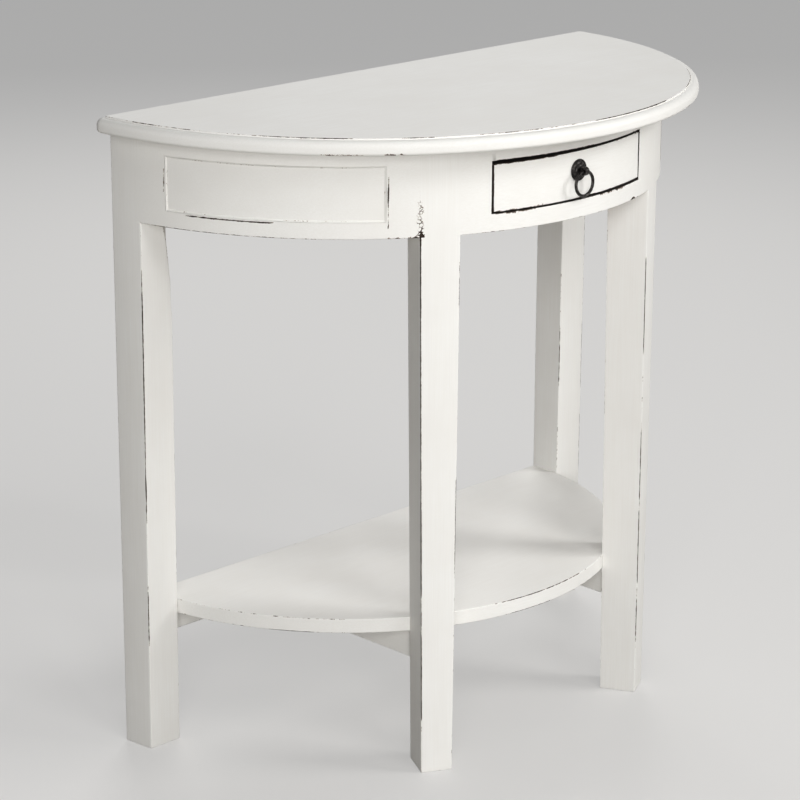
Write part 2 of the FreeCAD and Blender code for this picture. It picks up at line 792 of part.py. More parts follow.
# Blocks under the top: one inside each side apron, two on the back apron, each with a screw.
BLOCK_FOOT = f"({UNDER} - size.block_height)"
SIDE_BLOCK_ANGLE = f"(({BACK_LEG_ANGLE} + size.leg_angle) / 2)"
SIDE_BLOCK_MIDDLE = f"({APRON_INSIDE} - size.block_depth / 2)"
SIDE_SCREW_X = f"-{SIDE_BLOCK_MIDDLE} * sin({SIDE_BLOCK_ANGLE})"
SIDE_SCREW_Y = f"{CENTRE} - {SIDE_BLOCK_MIDDLE} * cos({SIDE_BLOCK_ANGLE})"
side_block_bar = box(
    "left_top_block_bar",
    "-size.block_length / 2",
    "size.block_length / 2",
    f"-{RADIUS}",
    f"-({APRON_INSIDE} - size.block_depth)",
    BLOCK_FOOT,
    UNDER,
)
side_block_turned = group("left_top_block_turned", [side_block_bar])
place(side_block_turned, y=CENTRE, turn=f"-{SIDE_BLOCK_ANGLE}")
side_block = common(
    "left_top_block_trimmed",
    side_block_turned,
    arc_core("left_top_block_face", f"{APRON_INSIDE} - size.glue_gap"),
)
BACK_BLOCK_X = f"({OPENING_HALF} + size.guide_thickness + size.back_block_gap + size.block_length / 2)"
back_block_bar = box(
    "back_left_top_block_bar",
    f"-{BACK_BLOCK_X} - size.block_length / 2",
    f"-{BACK_BLOCK_X} + size.block_length / 2",
    f"{BACK_APRON_FACE} - size.block_depth",
    BACK_APRON_FACE,
    BLOCK_FOOT,
    UNDER,
)
side_screw = ("left_top_screw", SIDE_SCREW_X, SIDE_SCREW_Y, BLOCK_FOOT, "size.block_height")
back_screw = (
    "back_left_top_screw",
    f"-{BACK_BLOCK_X}",
    f"{BACK_APRON_FACE} - size.block_depth / 2",
    BLOCK_FOOT,
    "size.block_height",
)
side_screw_hole = screw_hole(f"{side_screw[0]}_hole", *side_screw[1:])
back_screw_hole = screw_hole(f"{back_screw[0]}_hole", *back_screw[1:])
left_top_block = cut("left_top_block", side_block, side_screw_hole)
back_left_top_block = cut("back_left_top_block", back_block_bar, back_screw_hole)
right_top_block = mirror("right_top_block", left_top_block)
back_right_top_block = mirror("back_right_top_block", back_left_top_block)
left_top_screws = group("left_top_screws", [screw(*side_screw), screw(*back_screw)])
top_screws = group("top_screws", [left_top_screws, mirror("right_top_screws", left_top_screws)])
left_top_holes = group("left_top_holes", [side_screw_hole, back_screw_hole])
top_panel = cut("top_panel", top_body, left_top_holes, mirror("right_top_holes", left_top_holes))

# Drawer: a bowed front, two sides and a back, round a thin bottom that sits in grooves.
PIN_RADIUS = "size.pin_diameter / 2"
pins = []
pin_holes = []
for suffix, spare, made in (("", "0", pins), ("_hole", "size.pin_clearance", pin_holes)):
    for row, share in enumerate(SIDE_PIN_SHARES, start=1):
        pin = add(
            "Part::Cylinder",
            f"left_pin_{row}{suffix}",
            Radius=f"{PIN_RADIUS} + {spare}",
            Height=f"size.pin_length + {spare}",
        )
        lay(
            pin,
            AXIS_Y,
            f"-{DRAWER_HALF}",
            f"{DRAWER_BACK} - size.drawer_back_thickness / 2",
            f"{OPENING_FOOT} + ({DRAWER_SIDE_HEAD} - {OPENING_FOOT}) * {share}",
        )
        made.append(pin)
left_pin_holes = group("left_pin_holes", pin_holes)
right_pin_holes = mirror("right_pin_holes", left_pin_holes)
left_pins = group("left_pins", pins)
bottom_pins = []
bottom_pin_holes = []
for row, share in enumerate(BOTTOM_PIN_SHARES, start=1):
    for suffix, spare, made in (("", "0", bottom_pins), ("_hole", "size.pin_clearance", bottom_pin_holes)):
        made.append(
            upright(
                f"bottom_pin_{row}{suffix}",
                f"{PIN_RADIUS} + {spare}",
                GROOVE_FOOT,
                f"{GROOVE_FOOT} + size.pin_length + {spare}",
                f"{DRAWER_HALF} * ({share})",
                f"{DRAWER_BACK} - size.drawer_back_thickness / 2",
            )
        )
drawer_pins = group("drawer_pins", [left_pins, mirror("right_pins", left_pins), *bottom_pins])

FRONT_FOOT = f"({OPENING_FOOT} + size.drawer_foot_gap)"
FRONT_HEAD = f"({OPENING_HEAD} - size.drawer_top_gap)"
front_room = box(
    "drawer_front_room",
    f"-{DRAWER_HALF}",
    DRAWER_HALF,
    f"{CENTRE} - {RADIUS} - size.overrun",
    CENTRE,
    FRONT_FOOT,
    FRONT_HEAD,
)
front_board = common(
    "drawer_front_board",
    front_arc("drawer_front_arc", DRAWER_FRONT_INSIDE, FRONT_FOOT, FRONT_HEAD),
    front_room,
)
groove_half = f"({BOTTOM_HALF} + size.drawer_groove_fit)"
front_groove = common(
    "drawer_front_groove",
    box(
        "drawer_groove_room",
        f"-{groove_half}",
        groove_half,
        f"{CENTRE} - {RADIUS}",
        CENTRE,
        GROOVE_FOOT,
        GROOVE_HEAD,
    ),
    arc_core("drawer_groove_arc", f"{DRAWER_FRONT_INSIDE} + size.drawer_groove_depth"),
)
post_hole = add(
    "Part::Cylinder",
    "post_hole",
    Radius="size.post_diameter / 2 + size.post_clearance",
    Height="size.drawer_front_thickness + 2 * size.overrun",
)
lay(post_hole, AXIS_X, "-size.pull_offset", f"{WASHER_FACE} + size.overrun", PULL_HEIGHT)
drawer_front = cut("drawer_front", front_board, front_groove, post_hole)


def drawer_board(name, x_low, x_high, y_high, z_low, z_high, front_radius):
    """Board of the drawer box, its front end on the curve of the drawer front's inside."""
    bar = box(f"{name}_bar", x_low, x_high, f"{CENTRE} - {RADIUS}", y_high, z_low, z_high)
    return common(f"{name}_trimmed", bar, arc_core(f"{name}_end", front_radius))


side_board = drawer_board(
    "drawer_left_side",
    f"-{DRAWER_HALF}",
    f"-{DRAWER_INSIDE_HALF}",
    DRAWER_BACK,
    OPENING_FOOT,
    DRAWER_SIDE_HEAD,
    f"{DRAWER_FRONT_INSIDE} - size.glue_gap",
)
side_groove = box(
    "drawer_left_side_groove",
    f"-{groove_half}",
    f"-{DRAWER_INSIDE_HALF} + size.overrun",
    f"{CENTRE} - {RADIUS}",
    f"{DRAWER_BACK} + size.overrun",
    GROOVE_FOOT,
    GROOVE_HEAD,
)
drawer_left_side = cut("drawer_left_side", side_board, side_groove, left_pin_holes)
drawer_right_side = mirror("drawer_right_side", drawer_left_side)
drawer_bottom = cut(
    "drawer_bottom",
    drawer_board(
        "drawer_bottom",
        f"-{BOTTOM_HALF}",
        BOTTOM_HALF,
        DRAWER_BACK,
        GROOVE_FOOT,
        f"{GROOVE_FOOT} + size.drawer_bottom_thickness",
        f"{DRAWER_FRONT_INSIDE} + size.drawer_groove_depth - size.drawer_groove_fit",
    ),
    *bottom_pin_holes,
)
drawer_back = cut(
    "drawer_back",
    box(
        "drawer_back_board",
        f"-{DRAWER_INSIDE_HALF}",
        DRAWER_INSIDE_HALF,
        f"{DRAWER_BACK} - size.drawer_back_thickness",
        DRAWER_BACK,
        f"{GROOVE_FOOT} + size.drawer_bottom_thickness",
        DRAWER_SIDE_HEAD,
    ),
    left_pin_holes,
    right_pin_holes,
    *bottom_pin_holes,
)

# Ring pull: a domed backplate, a post whose eye holds the ring, and a washer and nut inside.
plate_body = doc.addObject("PartDesign::Body", "pull_backplate")
plate_points = [("size.post_diameter / 2 + size.post_clearance", "0"), ("size.plate_radius", "0")]
for radius_share, height_share in PLATE_OUTLINE_SHARES:
    plate_points.append((f"size.plate_radius * {radius_share}", f"size.plate_height * {height_share}"))
plate_points.append(("size.post_diameter / 2 + size.post_clearance", "size.plate_height"))
plate_sketch = outline_sketch(plate_body, "plate_outline", "XZ_Plane", plate_points)
revolve_upright(plate_body, plate_sketch, "plate_dome")
pull_backplate = lay(plate_body, AXIS_X, "-size.pull_offset", PULL_FACE, PULL_HEIGHT)

NUT_FACE = f"({WASHER_FACE} + size.washer_thickness)"
POST_END = f"({NUT_FACE} + size.nut_height + size.post_end)"
POST_LENGTH = f"{POST_END} - {EYE_Y}"
post_shank = add("Part::Cylinder", "post_shank", Radius="size.post_diameter / 2", Height=POST_LENGTH)
lay(post_shank, AXIS_X, "-size.pull_offset", POST_END, PULL_HEIGHT)
post_eye = add("Part::Cylinder", "post_eye", Radius=EYE_RADIUS, Height="size.eye_width")
lay(post_eye, AXIS_Y, "-size.pull_offset - size.eye_width / 2", EYE_Y, PULL_HEIGHT)
EYE_HOLE_LENGTH = "size.eye_width + 2 * size.overrun"
eye_hole = add("Part::Cylinder", "eye_hole", Radius=EYE_HOLE_RADIUS, Height=EYE_HOLE_LENGTH)
lay(eye_hole, AXIS_Y, "-size.pull_offset - size.eye_width / 2 - size.overrun", EYE_Y, PULL_HEIGHT)
pull_post = cut("pull_post", fuse("post_blank", post_shank, post_eye), eye_hole)

pull_ring = add("Part::Torus", "pull_ring", Radius1="size.ring_radius", Radius2="size.ring_wire_radius")
lay(pull_ring, AXIS_X, "-size.pull_offset", EYE_Y, f"{PULL_HEIGHT} - size.ring_radius")


def on_post(name, solid, y_high, height):
    """Pierced disc or nut on the post, its inner end at y_high."""
    lay(solid, AXIS_X, "-size.pull_offset", y_high, PULL_HEIGHT)
    hole = add(
        "Part::Cylinder",
        f"{name}_hole",
        Radius="size.post_diameter / 2 + size.post_clearance",
        Height=f"{height} + 2 * size.overrun",
    )
    lay(hole, AXIS_X, "-size.pull_offset", f"{y_high} + size.overrun", PULL_HEIGHT)
    return cut(name, solid, hole)


pull_washer = on_post(
    "pull_washer",
    add("Part::Cylinder", "washer_disc", Radius="size.washer_radius", Height="size.washer_thickness"),
    NUT_FACE,
    "size.washer_thickness",
)
nut_blank = add("Part::Prism", "nut_blank", Circumradius="size.nut_radius", Height="size.nut_height")
nut_blank.Polygon = 6
pull_nut = on_post("pull_nut", nut_blank, f"{NUT_FACE} + size.nut_height", "size.nut_height")

NODES = [
    top_panel,
    front_left_leg,
    front_right_leg,
    back_left_leg,
    back_right_leg,
    left_apron,
    right_apron,
    left_apron_panel,
    right_apron_panel,
    front_upper_rail,
    front_lower_rail,
    front_left_stile,
    front_right_stile,
    back_apron,
    back_stretcher,
    left_shelf_bearer,
    right_shelf_bearer,
    shelf,
    left_drawer_runner,
    right_drawer_runner,
    left_drawer_guide,
    right_drawer_guide,
    left_drawer_kicker,
    right_drawer_kicker,
    drawer_stops,
    left_top_block,
    right_top_block,
    back_left_top_block,
    back_right_top_block,
    top_screws,
    shelf_screws,
    leg_dowels,
    drawer_front,
    drawer_left_side,
    drawer_right_side,
    drawer_back,
    drawer_bottom,
    drawer_pins,
    pull_backplate,
    pull_post,
    pull_ring,
    pull_washer,
    pull_nut,
]
doc.recompute()
for item in doc.Objects:
    if "Invalid" in item.State or "Error" in item.State:
        raise RuntimeError(f"{item.Label} failed: {item.State}")
for node in NODES:
    if node.Shape.isNull() or not node.Shape.isValid() or not node.Shape.Solids:
        raise RuntimeError(f"{node.Label} has no valid solid")
os.makedirs("parts", exist_ok=True)
for node in NODES:
    node.Shape.exportStep(f"parts/{node.Label}.step")
    print(node.Label, len(node.Shape.Solids), round(node.Shape.Volume), node.Shape.BoundBox)
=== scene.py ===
import json
import math
from functools import lru_cache, partial

import bmesh
import bpy
import numpy as np
from bpy.props import FloatProperty, FloatVectorProperty, PointerProperty
from mathutils import Matrix, Vector, noise
from mathutils.bvhtree import BVHTree


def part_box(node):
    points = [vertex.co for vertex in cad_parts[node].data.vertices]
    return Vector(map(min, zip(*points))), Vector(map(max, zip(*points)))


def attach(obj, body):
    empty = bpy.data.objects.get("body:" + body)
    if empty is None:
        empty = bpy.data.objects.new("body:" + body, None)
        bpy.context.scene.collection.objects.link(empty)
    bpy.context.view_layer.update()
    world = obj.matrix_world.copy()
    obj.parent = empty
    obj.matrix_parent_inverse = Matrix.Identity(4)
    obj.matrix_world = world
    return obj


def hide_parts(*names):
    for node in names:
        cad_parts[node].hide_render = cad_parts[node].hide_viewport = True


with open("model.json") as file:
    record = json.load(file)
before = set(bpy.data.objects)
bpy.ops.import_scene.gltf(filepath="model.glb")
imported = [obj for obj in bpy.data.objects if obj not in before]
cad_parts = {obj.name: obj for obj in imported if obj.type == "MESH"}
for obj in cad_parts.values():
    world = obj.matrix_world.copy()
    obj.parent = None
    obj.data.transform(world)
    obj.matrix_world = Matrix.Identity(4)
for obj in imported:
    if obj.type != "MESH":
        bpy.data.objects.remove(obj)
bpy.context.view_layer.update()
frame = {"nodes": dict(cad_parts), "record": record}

bl_info = {
    "name": "Demilune table",
    "version": (1, 0, 0),
    "blender": (4, 5, 0),
    "location": "View3D > Sidebar > Demilune table",
    "description": "Models and finishes a half-round painted wall table on its construction frame",
    "category": "Object",
}

MM = 0.001
RIGHT = Vector((1, 0, 0))
BACKWARD = Vector((0, 1, 0))
UP = Vector((0, 0, 1))
QUARTER_TURN = math.pi / 2

# Fineness of the modelled shapes.
ROUND_STEPS = 288
ARC_STEP = math.radians(1.0)
ROW_HEIGHT = 10 * MM
LEG_COLUMNS = 5
PARE_STEPS = 8
ARRIS_PIECE = 13 * MM
ARRIS_SEGMENTS = 5
LEG_ARRIS_SEGMENTS = 6
NOSE_SEGMENTS = 8
UNDER_SEGMENTS = 5
RIM_SEGMENTS = 3
CHAMFER_SEGMENTS = 2
EYE_SEGMENTS = 4
ARRIS_SHARPNESS = 0.86
ROUND_PROFILE = 0.5
SHARP_ANGLE = math.radians(35)
SMOOTH_ANGLE = math.radians(52)
FLAT_ANGLE = math.radians(0.1)
WELD = 0.02 * MM
SMALL = 0.05 * MM

# A face looks along an axis, or into the drawer's gap, where its normal's share of it is above this.
FACING = 0.9
GAP_FACING = 0.75

# What a cut takes off the end of a bent board, and the edges that make room for the top's rounded back
# corners, in insets of its edge.
SPARE_TURN = 2 * ARC_STEP
BACK_ROOM_SHARE = 1.5

# The drum whose curve the legs take: its fineness, its height in tables, and how far it draws a face.
DRUM_STEPS = 4 * ROUND_STEPS
DRUM_HEIGHTS = 3
WRAP_LIMIT = 6 * MM

# Ring pull: ridges of its backplate as steps inwards and upwards, in shares of its radius and height.
TURNED_STEPS = 48
PLATE_RIM_SHARE = 0.22
PLATE_RIDGE_SHARES = (
    (0.06, 0.16), (0.08, 0.02), (0.06, -0.08), (0.06, 0.18),
    (0.10, 0.12), (0.08, -0.04), (0.06, 0.22), (0.12, 0.20),
)
RIDGE_SOFT = 0.15 * MM
SHANK_SINK_SHARE = 0.65
RING_STEPS = 30
WIRE_STEPS = 10
WIRE_SHRINK_SHARE = 0.936
RING_SMOOTHNESS = 2
HAMMER_DENT = 0.14 * MM
HAMMER_SEED = 4

# Two pieces closer than this are joined there, and the arris between them is painted over. An arris is
# tried at some shares of its length, and buried fixings don't count.
TOUCH = 0.3 * MM
ARRIS_PROBES = (0.15, 0.5, 0.85)
BURIED = ("leg_dowels", "top_screws", "shelf_screws", "drawer_pins")

# How far a panel stands off the floor of its recess, and the drawer's boards off what they slide on.
PANEL_SEAT = TOUCH / 3
SLIDE_GAP = 0.3 * MM

# Wear: rubbing everywhere on a bare arris, how unevenly it comes, and how far marks and scars reach.
BARE_RUB = 0.36
RUB_SPREAD = 0.26
RUB_PATCH = 45 * MM
RUB_FULLNESS = 1.25
PANEL_RUB_SHARE = 0.5
MARK_REACH = 9 * MM
MARK_STEP = 1 * MM
MARK_FULLNESS = 2
SCAR_REACH = 1.5 * MM
NOSE_REACH = 3 * MM
CHIP_REACH = 4.5 * MM
CRACK_REACH = 8 * MM

# Extra rows and columns of points where chips and cracks lie, in shares of their reach, and one row
# just above the place where a leg's arris ends.
CHIP_ROWS = (0.5, 1)
CRACK_COLUMNS = (0.25, 0.6, 1)
ARRIS_END = 0.6 * MM

# Worn stretches along arcs: from and to in degrees from the middle of the front, and strength.
TOP_RIM_MARKS = (
    (-82, -79.5, 0.7), (-74.5, -72.8, 0.66), (-59, -53, 0.64), (-53, -46, 0.8), (-35.6, -33, 0.7),
    (-24.2, -13.5, 0.58), (-2, 4, 0.8), (5, 17.5, 0.95), (32, 47, 0.7),
)
NOSE_SCARS = ((-51, -43.4, 0.6), (-40, -37, 0.6), (24, 27, 0.6), (58, 63, 0.6))
APRON_FOOT_MARKS = {
    "left_apron": ((-78, -66, 0.72), (-66, -55, 0.62)),
    "right_apron": ((35, 42, 0.7), (58, 66, 0.6)),
}
APRON_FOOT_CHIPS = ((-37, -34.5, 0.6), (-33.8, -32, 0.6))
LEFT_PANEL_FOOT_SCAR = (-71.6, -56.8, 1.0)
RIGHT_PANEL_FOOT_SCAR = (50, 62, 0.7)
UPPER_RAIL_MARK = (-18, 2, 0.7)
LOWER_RAIL_HEAD_MARK = (-17, -11, 0.62)
LOWER_RAIL_FOOT_MARK = (-21, -14, 0.5)
LOWER_RAIL_HEAD_CHIPS = ((-16.5, -12.5, 0.55), (5, 8, 0.5), (8, 13, 0.6))
LOWER_RAIL_FOOT_CHIP = (16.2, 17.2, 0.9)
SHELF_FOOT_MARKS = ((-58.5, -51.5, 0.85), (-8, 1, 0.8), (40, 48, 0.7))
SHELF_HEAD_MARKS = ((-10, 11, 0.66), (-58, -46, 0.5))
DRAWER_FOOT_MARKS = ((0, 3, 0.7), (8, 12, 0.6))
DRAWER_HEAD_MARK = (-17, -6, 0.6)
DRAWER_FOOT_CHIPS = ((-18, -16.2, 0.55), (-15.3, -12.8, 0.5), (-11.2, -9, 0.6))

# Ends of the drawer's front darkened partly as rubbed wear and partly as painted shade of the gap beside
# them: strength, and the share of the right end that stays painted.
LEFT_END_WEAR_AND_SHADE = 0.66
RIGHT_END_WEAR_AND_SHADE = 0.95
RIGHT_END_SOUND = 0.35

# Worn upright stretches: from and to in millimetres above the floor, and strength.
LEG_MARKS = {
    ("front_left_leg", "left"): (
        (72, 165, 1.7), (165, 215, 0.9), (222, 312, 1.8), (312, 500, 1.2), (500, 560, 1.1),
        (560, 628, 1.6),
    ),
    ("front_left_leg", "right"): ((255, 338, 1.0), (560, 590, 0.7)),
    ("front_right_leg", "left"): ((70, 120, 1.0), (150, 225, 1.0), (250, 330, 0.95), (440, 542, 1.1)),
    ("front_right_leg", "right"): ((120, 180, 0.66), (400, 470, 0.66)),
    ("back_left_leg", "outer"): (
        (137, 186, 0.95), (285, 405, 0.9), (311, 330, 1.35), (405, 500, 1.1), (500, 550, 1.3),
        (550, 575, 0.75),
    ),
    ("back_right_leg", "outer"): ((180, 240, 0.8), (295, 365, 0.9), (480, 540, 0.8)),
    ("back_right_leg", "inner"): ((300, 372, 0.8),),
}
PANEL_BACK_SCAR = (673, 698, 0.8)
PANEL_FRONT_SCARS = ((668, 696, 1.2), (646, 668, 0.6))

# Cracked paint beside the left front leg: millimetres above the apron's foot, and strength.
CRACKS = ((0, 12, 0.74), (12, 34, 0.56), (34, 48, 0.46))

# Soft boxes: place and width in metres. So are the floor's width and the camera's sight, and its sensor
# is in millimetres.
LAMPS = {
    "key": ((1.9, -2.5, 2.1), 1.2),
    "front": ((-0.6, -2.8, 2.9), 1.3),
    "fill": ((-2.5, -2.6, 1.35), 1.8),
    "back": ((1.8, 2.2, 2.2), 1.6),
}
FLOOR_WIDTH = 40
SENSOR = 36
SIGHT = 100


def linear(code):
    """Linear colour of an sRGB hex value."""
    shares = [int(code[i : i + 2], 16) / 255 for i in (0, 2, 4)]
    return tuple(s / 12.92 if s <= 0.04045 else ((s + 0.055) / 1.055) ** 2.4 for s in shares)


def amount(name, description, value, **more):
    return FloatProperty(name=name, description=description, default=value, **more)


def length(name, description, millimetres):
    return amount(name, description, millimetres * MM, min=0, precision=4, unit="LENGTH")


def turn(name, description, degrees):
    return amount(name, description, math.radians(degrees), subtype="ANGLE")


def factor(name, description, value):
    return amount(name, description, value, subtype="FACTOR")


def power(name, place, watts):
    return amount(name, "Power of the soft box " + place, watts, unit="POWER")


def colour(name, description, code):
    return FloatVectorProperty(
        name=name, description=description, default=(*linear(code), 1), size=4, min=0, max=1, subtype="COLOR"
    )


class TableSizes(bpy.types.PropertyGroup):
    """Sizes of the table's visible shapes"""

    overhang: length("Overhang", "How far the top stands out past the apron", 25)
    edge_inset: length("Edge inset", "Width of the stepped edge round the top", 10)
    edge_step: length("Edge step", "Height of the step round the top", 2)
    nose_round: length("Nose round", "Radius of the top's rounded nose", 8)
    under_round: length("Under round", "Radius under the nose", 4)
    rim_soft: length("Rim softness", "Rounding of the step's upper edge", 0.9)
    corner_round: length("Corner round", "Rounding of the top's back corners, seen from above", 13)
    leg_angle: turn("Leg angle", "How far a front leg stands round the arc from the middle", 28.2)
    leg_width: length("Leg width", "Width of a front leg at the apron", 46)
    leg_depth: length("Leg depth", "Depth of a front leg at the apron", 49)
    foot_width: length("Foot width", "Width of a front leg at the floor", 37)
    foot_depth: length("Foot depth", "Depth of a front leg at the floor", 44)
    back_leg_width: length("Back leg width", "Width of a back leg at the apron", 44)
    back_foot_width: length("Back foot width", "Width of a back leg at the floor", 41)
    pare_height: length("Pared height", "How far below the apron the left back leg is pared", 112)
    pare_depth: length("Pared depth", "How much the left back leg is pared at the apron", 11.5)
    board: length("Apron board", "Thickness of the aprons and rails", 22)
    drawer_board: length("Drawer front", "Thickness of the drawer's front", 20)
    drawer_tilt: turn("Drawer tilt", "How far the drawer's front hangs askew in its opening", 0.45)
    end_gap: length("End gap", "How much wider the drawer's gap is at the right", 1.4)
    panel_gap: length("Panel gap", "Gap round an inset panel", 0.8)
    panel_recess: length("Panel recess", "Depth of the recess that holds a panel", 7)
    panel_drop: length("Panel drop", "How far a panel lies below the apron's face", 1.5)
    arris: length("Arris", "Width of a softened edge", 4)
    fine_arris: length("Fine arris", "Width of a softened edge on thin boards", 1.6)
    wear: length("Wear", "How far rubbing reaches from an arris", 1.3)
    scar_drop: length("Scar drop", "How far below the left panel its long scar lies", 5)
    back_scar: length("Back scar", "How far behind the left panel its short scar lies", 4.8)
    front_scar: length("Front scar", "How far in front of the left panel its upright scar lies", 4.9)
    shank: length("Shank", "Thickness of the pull's post", 5)
    eye_wall: length("Eye wall", "Thickness of the pull's eye round its hole", 2.3)
    eye_soft: length("Eye softness", "Rounding of the pull's eye", 1.7)


class TableColours(bpy.types.PropertyGroup):
    """Colours of the table's finishes"""

    paint: colour("Paint", "Warm white chalk paint", "F5F4F0")
    paint_shade: colour("Paint shade", "The paint where it lies thin", "F0EEE9")
    stain: colour("Stain", "Brown that shows at the rim of a rub", "8A6E58")
    # Opening: near-black painted shade for the faces that look into the drawer's gap.
    rubbed: colour("Rubbed wood", "Dark wood where the paint is gone", "2E241E")
    opening: colour("Opening", "Near-black painted shade on the edges round the drawer", "1E1713")
    wood: colour("Bare wood", "Planed wood inside the table", "B98F66")
    wood_dark: colour("Grain", "Late wood and pores", "8D6542")
    iron: colour("Iron", "Blackened iron of the pull", "262423")
    iron_worn: colour("Worn iron", "Iron where hands have polished it", "5C5855")
    steel: colour("Steel", "Screws, pins, washer and nut", "A9A8A5")
    floor: colour("Floor", "Plain pale floor", "A6A4A1")
    floor_light: colour("Floor light", "What the floor throws back at the table", "8C8882")


class StageSettings(bpy.types.PropertyGroup):
    """Camera and light"""

    eye: FloatVectorProperty(
        name="Camera place",
        description="Where the photograph was taken from",
        default=(-2.32049, -2.20511, 1.37476),
        size=3,
        unit="LENGTH",
    )
    heading: turn("Heading", "How far the camera turns from straight ahead to the right", 44.86)
    dip: turn("Dip", "How far the camera looks down", 17.22)
    tilt: turn("Tilt", "How far the camera leans", 0.19)
    lens: amount("Lens", "Focal length on a 36 mm sensor", 127.9, unit="CAMERA")
    key_power: power("Key", "at the front right", 56)
    front_power: power("Front", "high at the front", 31)
    fill_power: power("Fill", "at the left", 74)
    back_power: power("Back", "behind, at the right", 36)
    floor_glow: factor("Floor glow", "How much paler the floor looks than its light makes it", 0.34)
    sky: factor("Sky", "Strength of the plain surrounding light", 0.12)
    backdrop: factor("Backdrop", "How pale the surroundings look", 0.36)


SETTINGS = {"table_sizes": TableSizes, "table_colours": TableColours, "table_stage": StageSettings}


def sizes():
    return bpy.context.scene.table_sizes


def corners(node):
    low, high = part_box(node)
    return Vector(low), Vector(high)


# Places that the pieces share, read from the frame.
TOP_LOW, TOP_HIGH = corners("top_panel")
RAIL_LOW, RAIL_HIGH = corners("front_lower_rail")
BACK_LEG_LOW, BACK_LEG_HIGH = corners("back_left_leg")
OPENING_FOOT = RAIL_HIGH.z
OPENING_HEAD = corners("front_upper_rail")[0].z
APRON_FOOT = RAIL_LOW.z
UNDER_TOP = TOP_LOW.z
BACK_Y = TOP_HIGH.y
TOP_RADIUS = TOP_HIGH.x
TOP_CENTRE = Vector((0, TOP_LOW.y + TOP_RADIUS, 0))


def arc_radius():
    """Radius of the aprons' outer face."""
    return TOP_RADIUS - sizes().overhang


def arc_centre():
    return Vector((0, RAIL_LOW.y + arc_radius(), 0))


def outward(angle):
    """Direction out of the arc at an angle from the middle of the front, to the right."""
    return Vector((math.sin(angle), -math.cos(angle), 0))


def along(angle):
    """Direction along the arc, to the right."""
    return Vector((math.cos(angle), math.sin(angle), 0))


def on_arc(angle, height, radius=None, centre=None):
    middle = arc_centre() if centre is None else centre
    return middle + outward(angle) * (arc_radius() if radius is None else radius) + UP * height


# Selecting and editing


def settle():
    if bpy.context.mode != "OBJECT":
        bpy.ops.object.mode_set(mode="OBJECT")
    bpy.ops.object.select_all(action="DESELECT")


def activate(piece):
    settle()
    piece.select_set(True)
    bpy.context.view_layer.objects.active = piece


def edit(piece):
    activate(piece)
    bpy.ops.object.mode_set(mode="EDIT")
    bpy.ops.mesh.select_all(action="DESELECT")


def pick(kind, test):
    """Select the VERTs, EDGEs or FACEs of the edited mesh that pass a test, and return how many."""
    bpy.ops.mesh.select_mode(type=kind)
    bpy.ops.mesh.select_all(action="DESELECT")
    mesh = bpy.context.edit_object.data
    shape = bmesh.from_edit_mesh(mesh)
    found = [p for p in {"VERT": shape.verts, "EDGE": shape.edges, "FACE": shape.faces}[kind] if test(p)]
    for part in found:
        part.select_set(True)
    bmesh.update_edit_mesh(mesh)
    return len(found)


def need(kind, test):
    if pick(kind, test) == 0:
        raise RuntimeError(f"nothing to select on {bpy.context.edit_object.name}")


def chosen_lines():
    """Both ends of each selected edge."""
    shape = bmesh.from_edit_mesh(bpy.context.edit_object.data)
    return [(e.verts[0].co.copy(), e.verts[1].co.copy()) for e in shape.edges if e.select]


def level(edge, height):
    return all(abs(v.co.z - height) < SMALL for v in edge.verts)


def upright(edge):
    return (edge.verts[0].co - edge.verts[1].co).xy.length < SMALL


def middle_of(edge):
    return (edge.verts[0].co + edge.verts[1].co) / 2


def round_off(width, segments, profile=ROUND_PROFILE):
    bpy.ops.mesh.bevel(offset=width, segments=segments, profile=profile, affect="EDGES")


def take_all():
    bpy.ops.mesh.select_all(action="SELECT")


def trim(point, normal):
    """Cut away what lies beyond a plane, and close the cut."""
    take_all()
    bpy.ops.mesh.bisect(plane_co=point, plane_no=normal, use_fill=True, clear_outer=True)


def divide(point, normal):
    """Draw a line of new edges round the whole mesh where a plane meets it."""
    take_all()
    bpy.ops.mesh.bisect(plane_co=point, plane_no=normal)


def close_up():
    """Merge doubles, point the faces outwards and leave edit mode."""
    take_all()
    bpy.ops.mesh.remove_doubles(threshold=WELD)
    bpy.ops.mesh.normals_make_consistent(inside=False)
    bpy.ops.object.mode_set(mode="OBJECT")


def settle_place():
    bpy.ops.object.transform_apply(location=True, rotation=True, scale=True)


def fresh(name, scale=(1, 1, 1)):
    """Name the object just made, and work its place, turn and scale into its mesh."""
    piece = bpy.context.object
    piece.name = name
    piece.data.name = name
    piece.scale = scale
    settle_place()
    return piece


def modify(piece, kind, **settings):
    """Add a modifier, set it and apply it."""
    activate(piece)
    added = piece.modifiers.new(kind.lower(), kind)
    for key, value in settings.items():
        setattr(added, key, value)
    bpy.ops.object.modifier_apply(modifier=added.name)


def cylinder(name, steps, radius, depth, place, turned=(0, 0, 0)):
    """A disc or a round bar, upright unless it is turned."""
    settle()
    bpy.ops.mesh.primitive_cylinder_add(
        vertices=steps, radius=radius, depth=depth, location=place, rotation=turned
    )
    return fresh(name)


def spun(name, inner, outer, low, high, start, end, in_rows=True):
    """A board bent round the arc: an upright section, divided in rows or not, spun about the arc's axis."""
    settle()
    place = on_arc(start, (low + high) / 2, (inner + outer) / 2)
    bpy.ops.mesh.primitive_plane_add(
        size=1, location=place, rotation=(QUARTER_TURN, 0, start - QUARTER_TURN)
    )
    piece = fresh(name, (outer - inner, high - low, 1))
    edit(piece)
    if in_rows:
        need("EDGE", lambda e: abs(e.verts[0].co.z - e.verts[1].co.z) > SMALL)
        bpy.ops.mesh.subdivide(number_cuts=max(1, round((high - low) / ROW_HEIGHT) - 1))
    take_all()
    steps = math.ceil((end - start) / ARC_STEP)
    bpy.ops.mesh.spin(steps=steps, angle=start - end, center=arc_centre(), axis=UP)
    take_all()
    bpy.ops.mesh.normals_make_consistent(inside=False)
    return piece


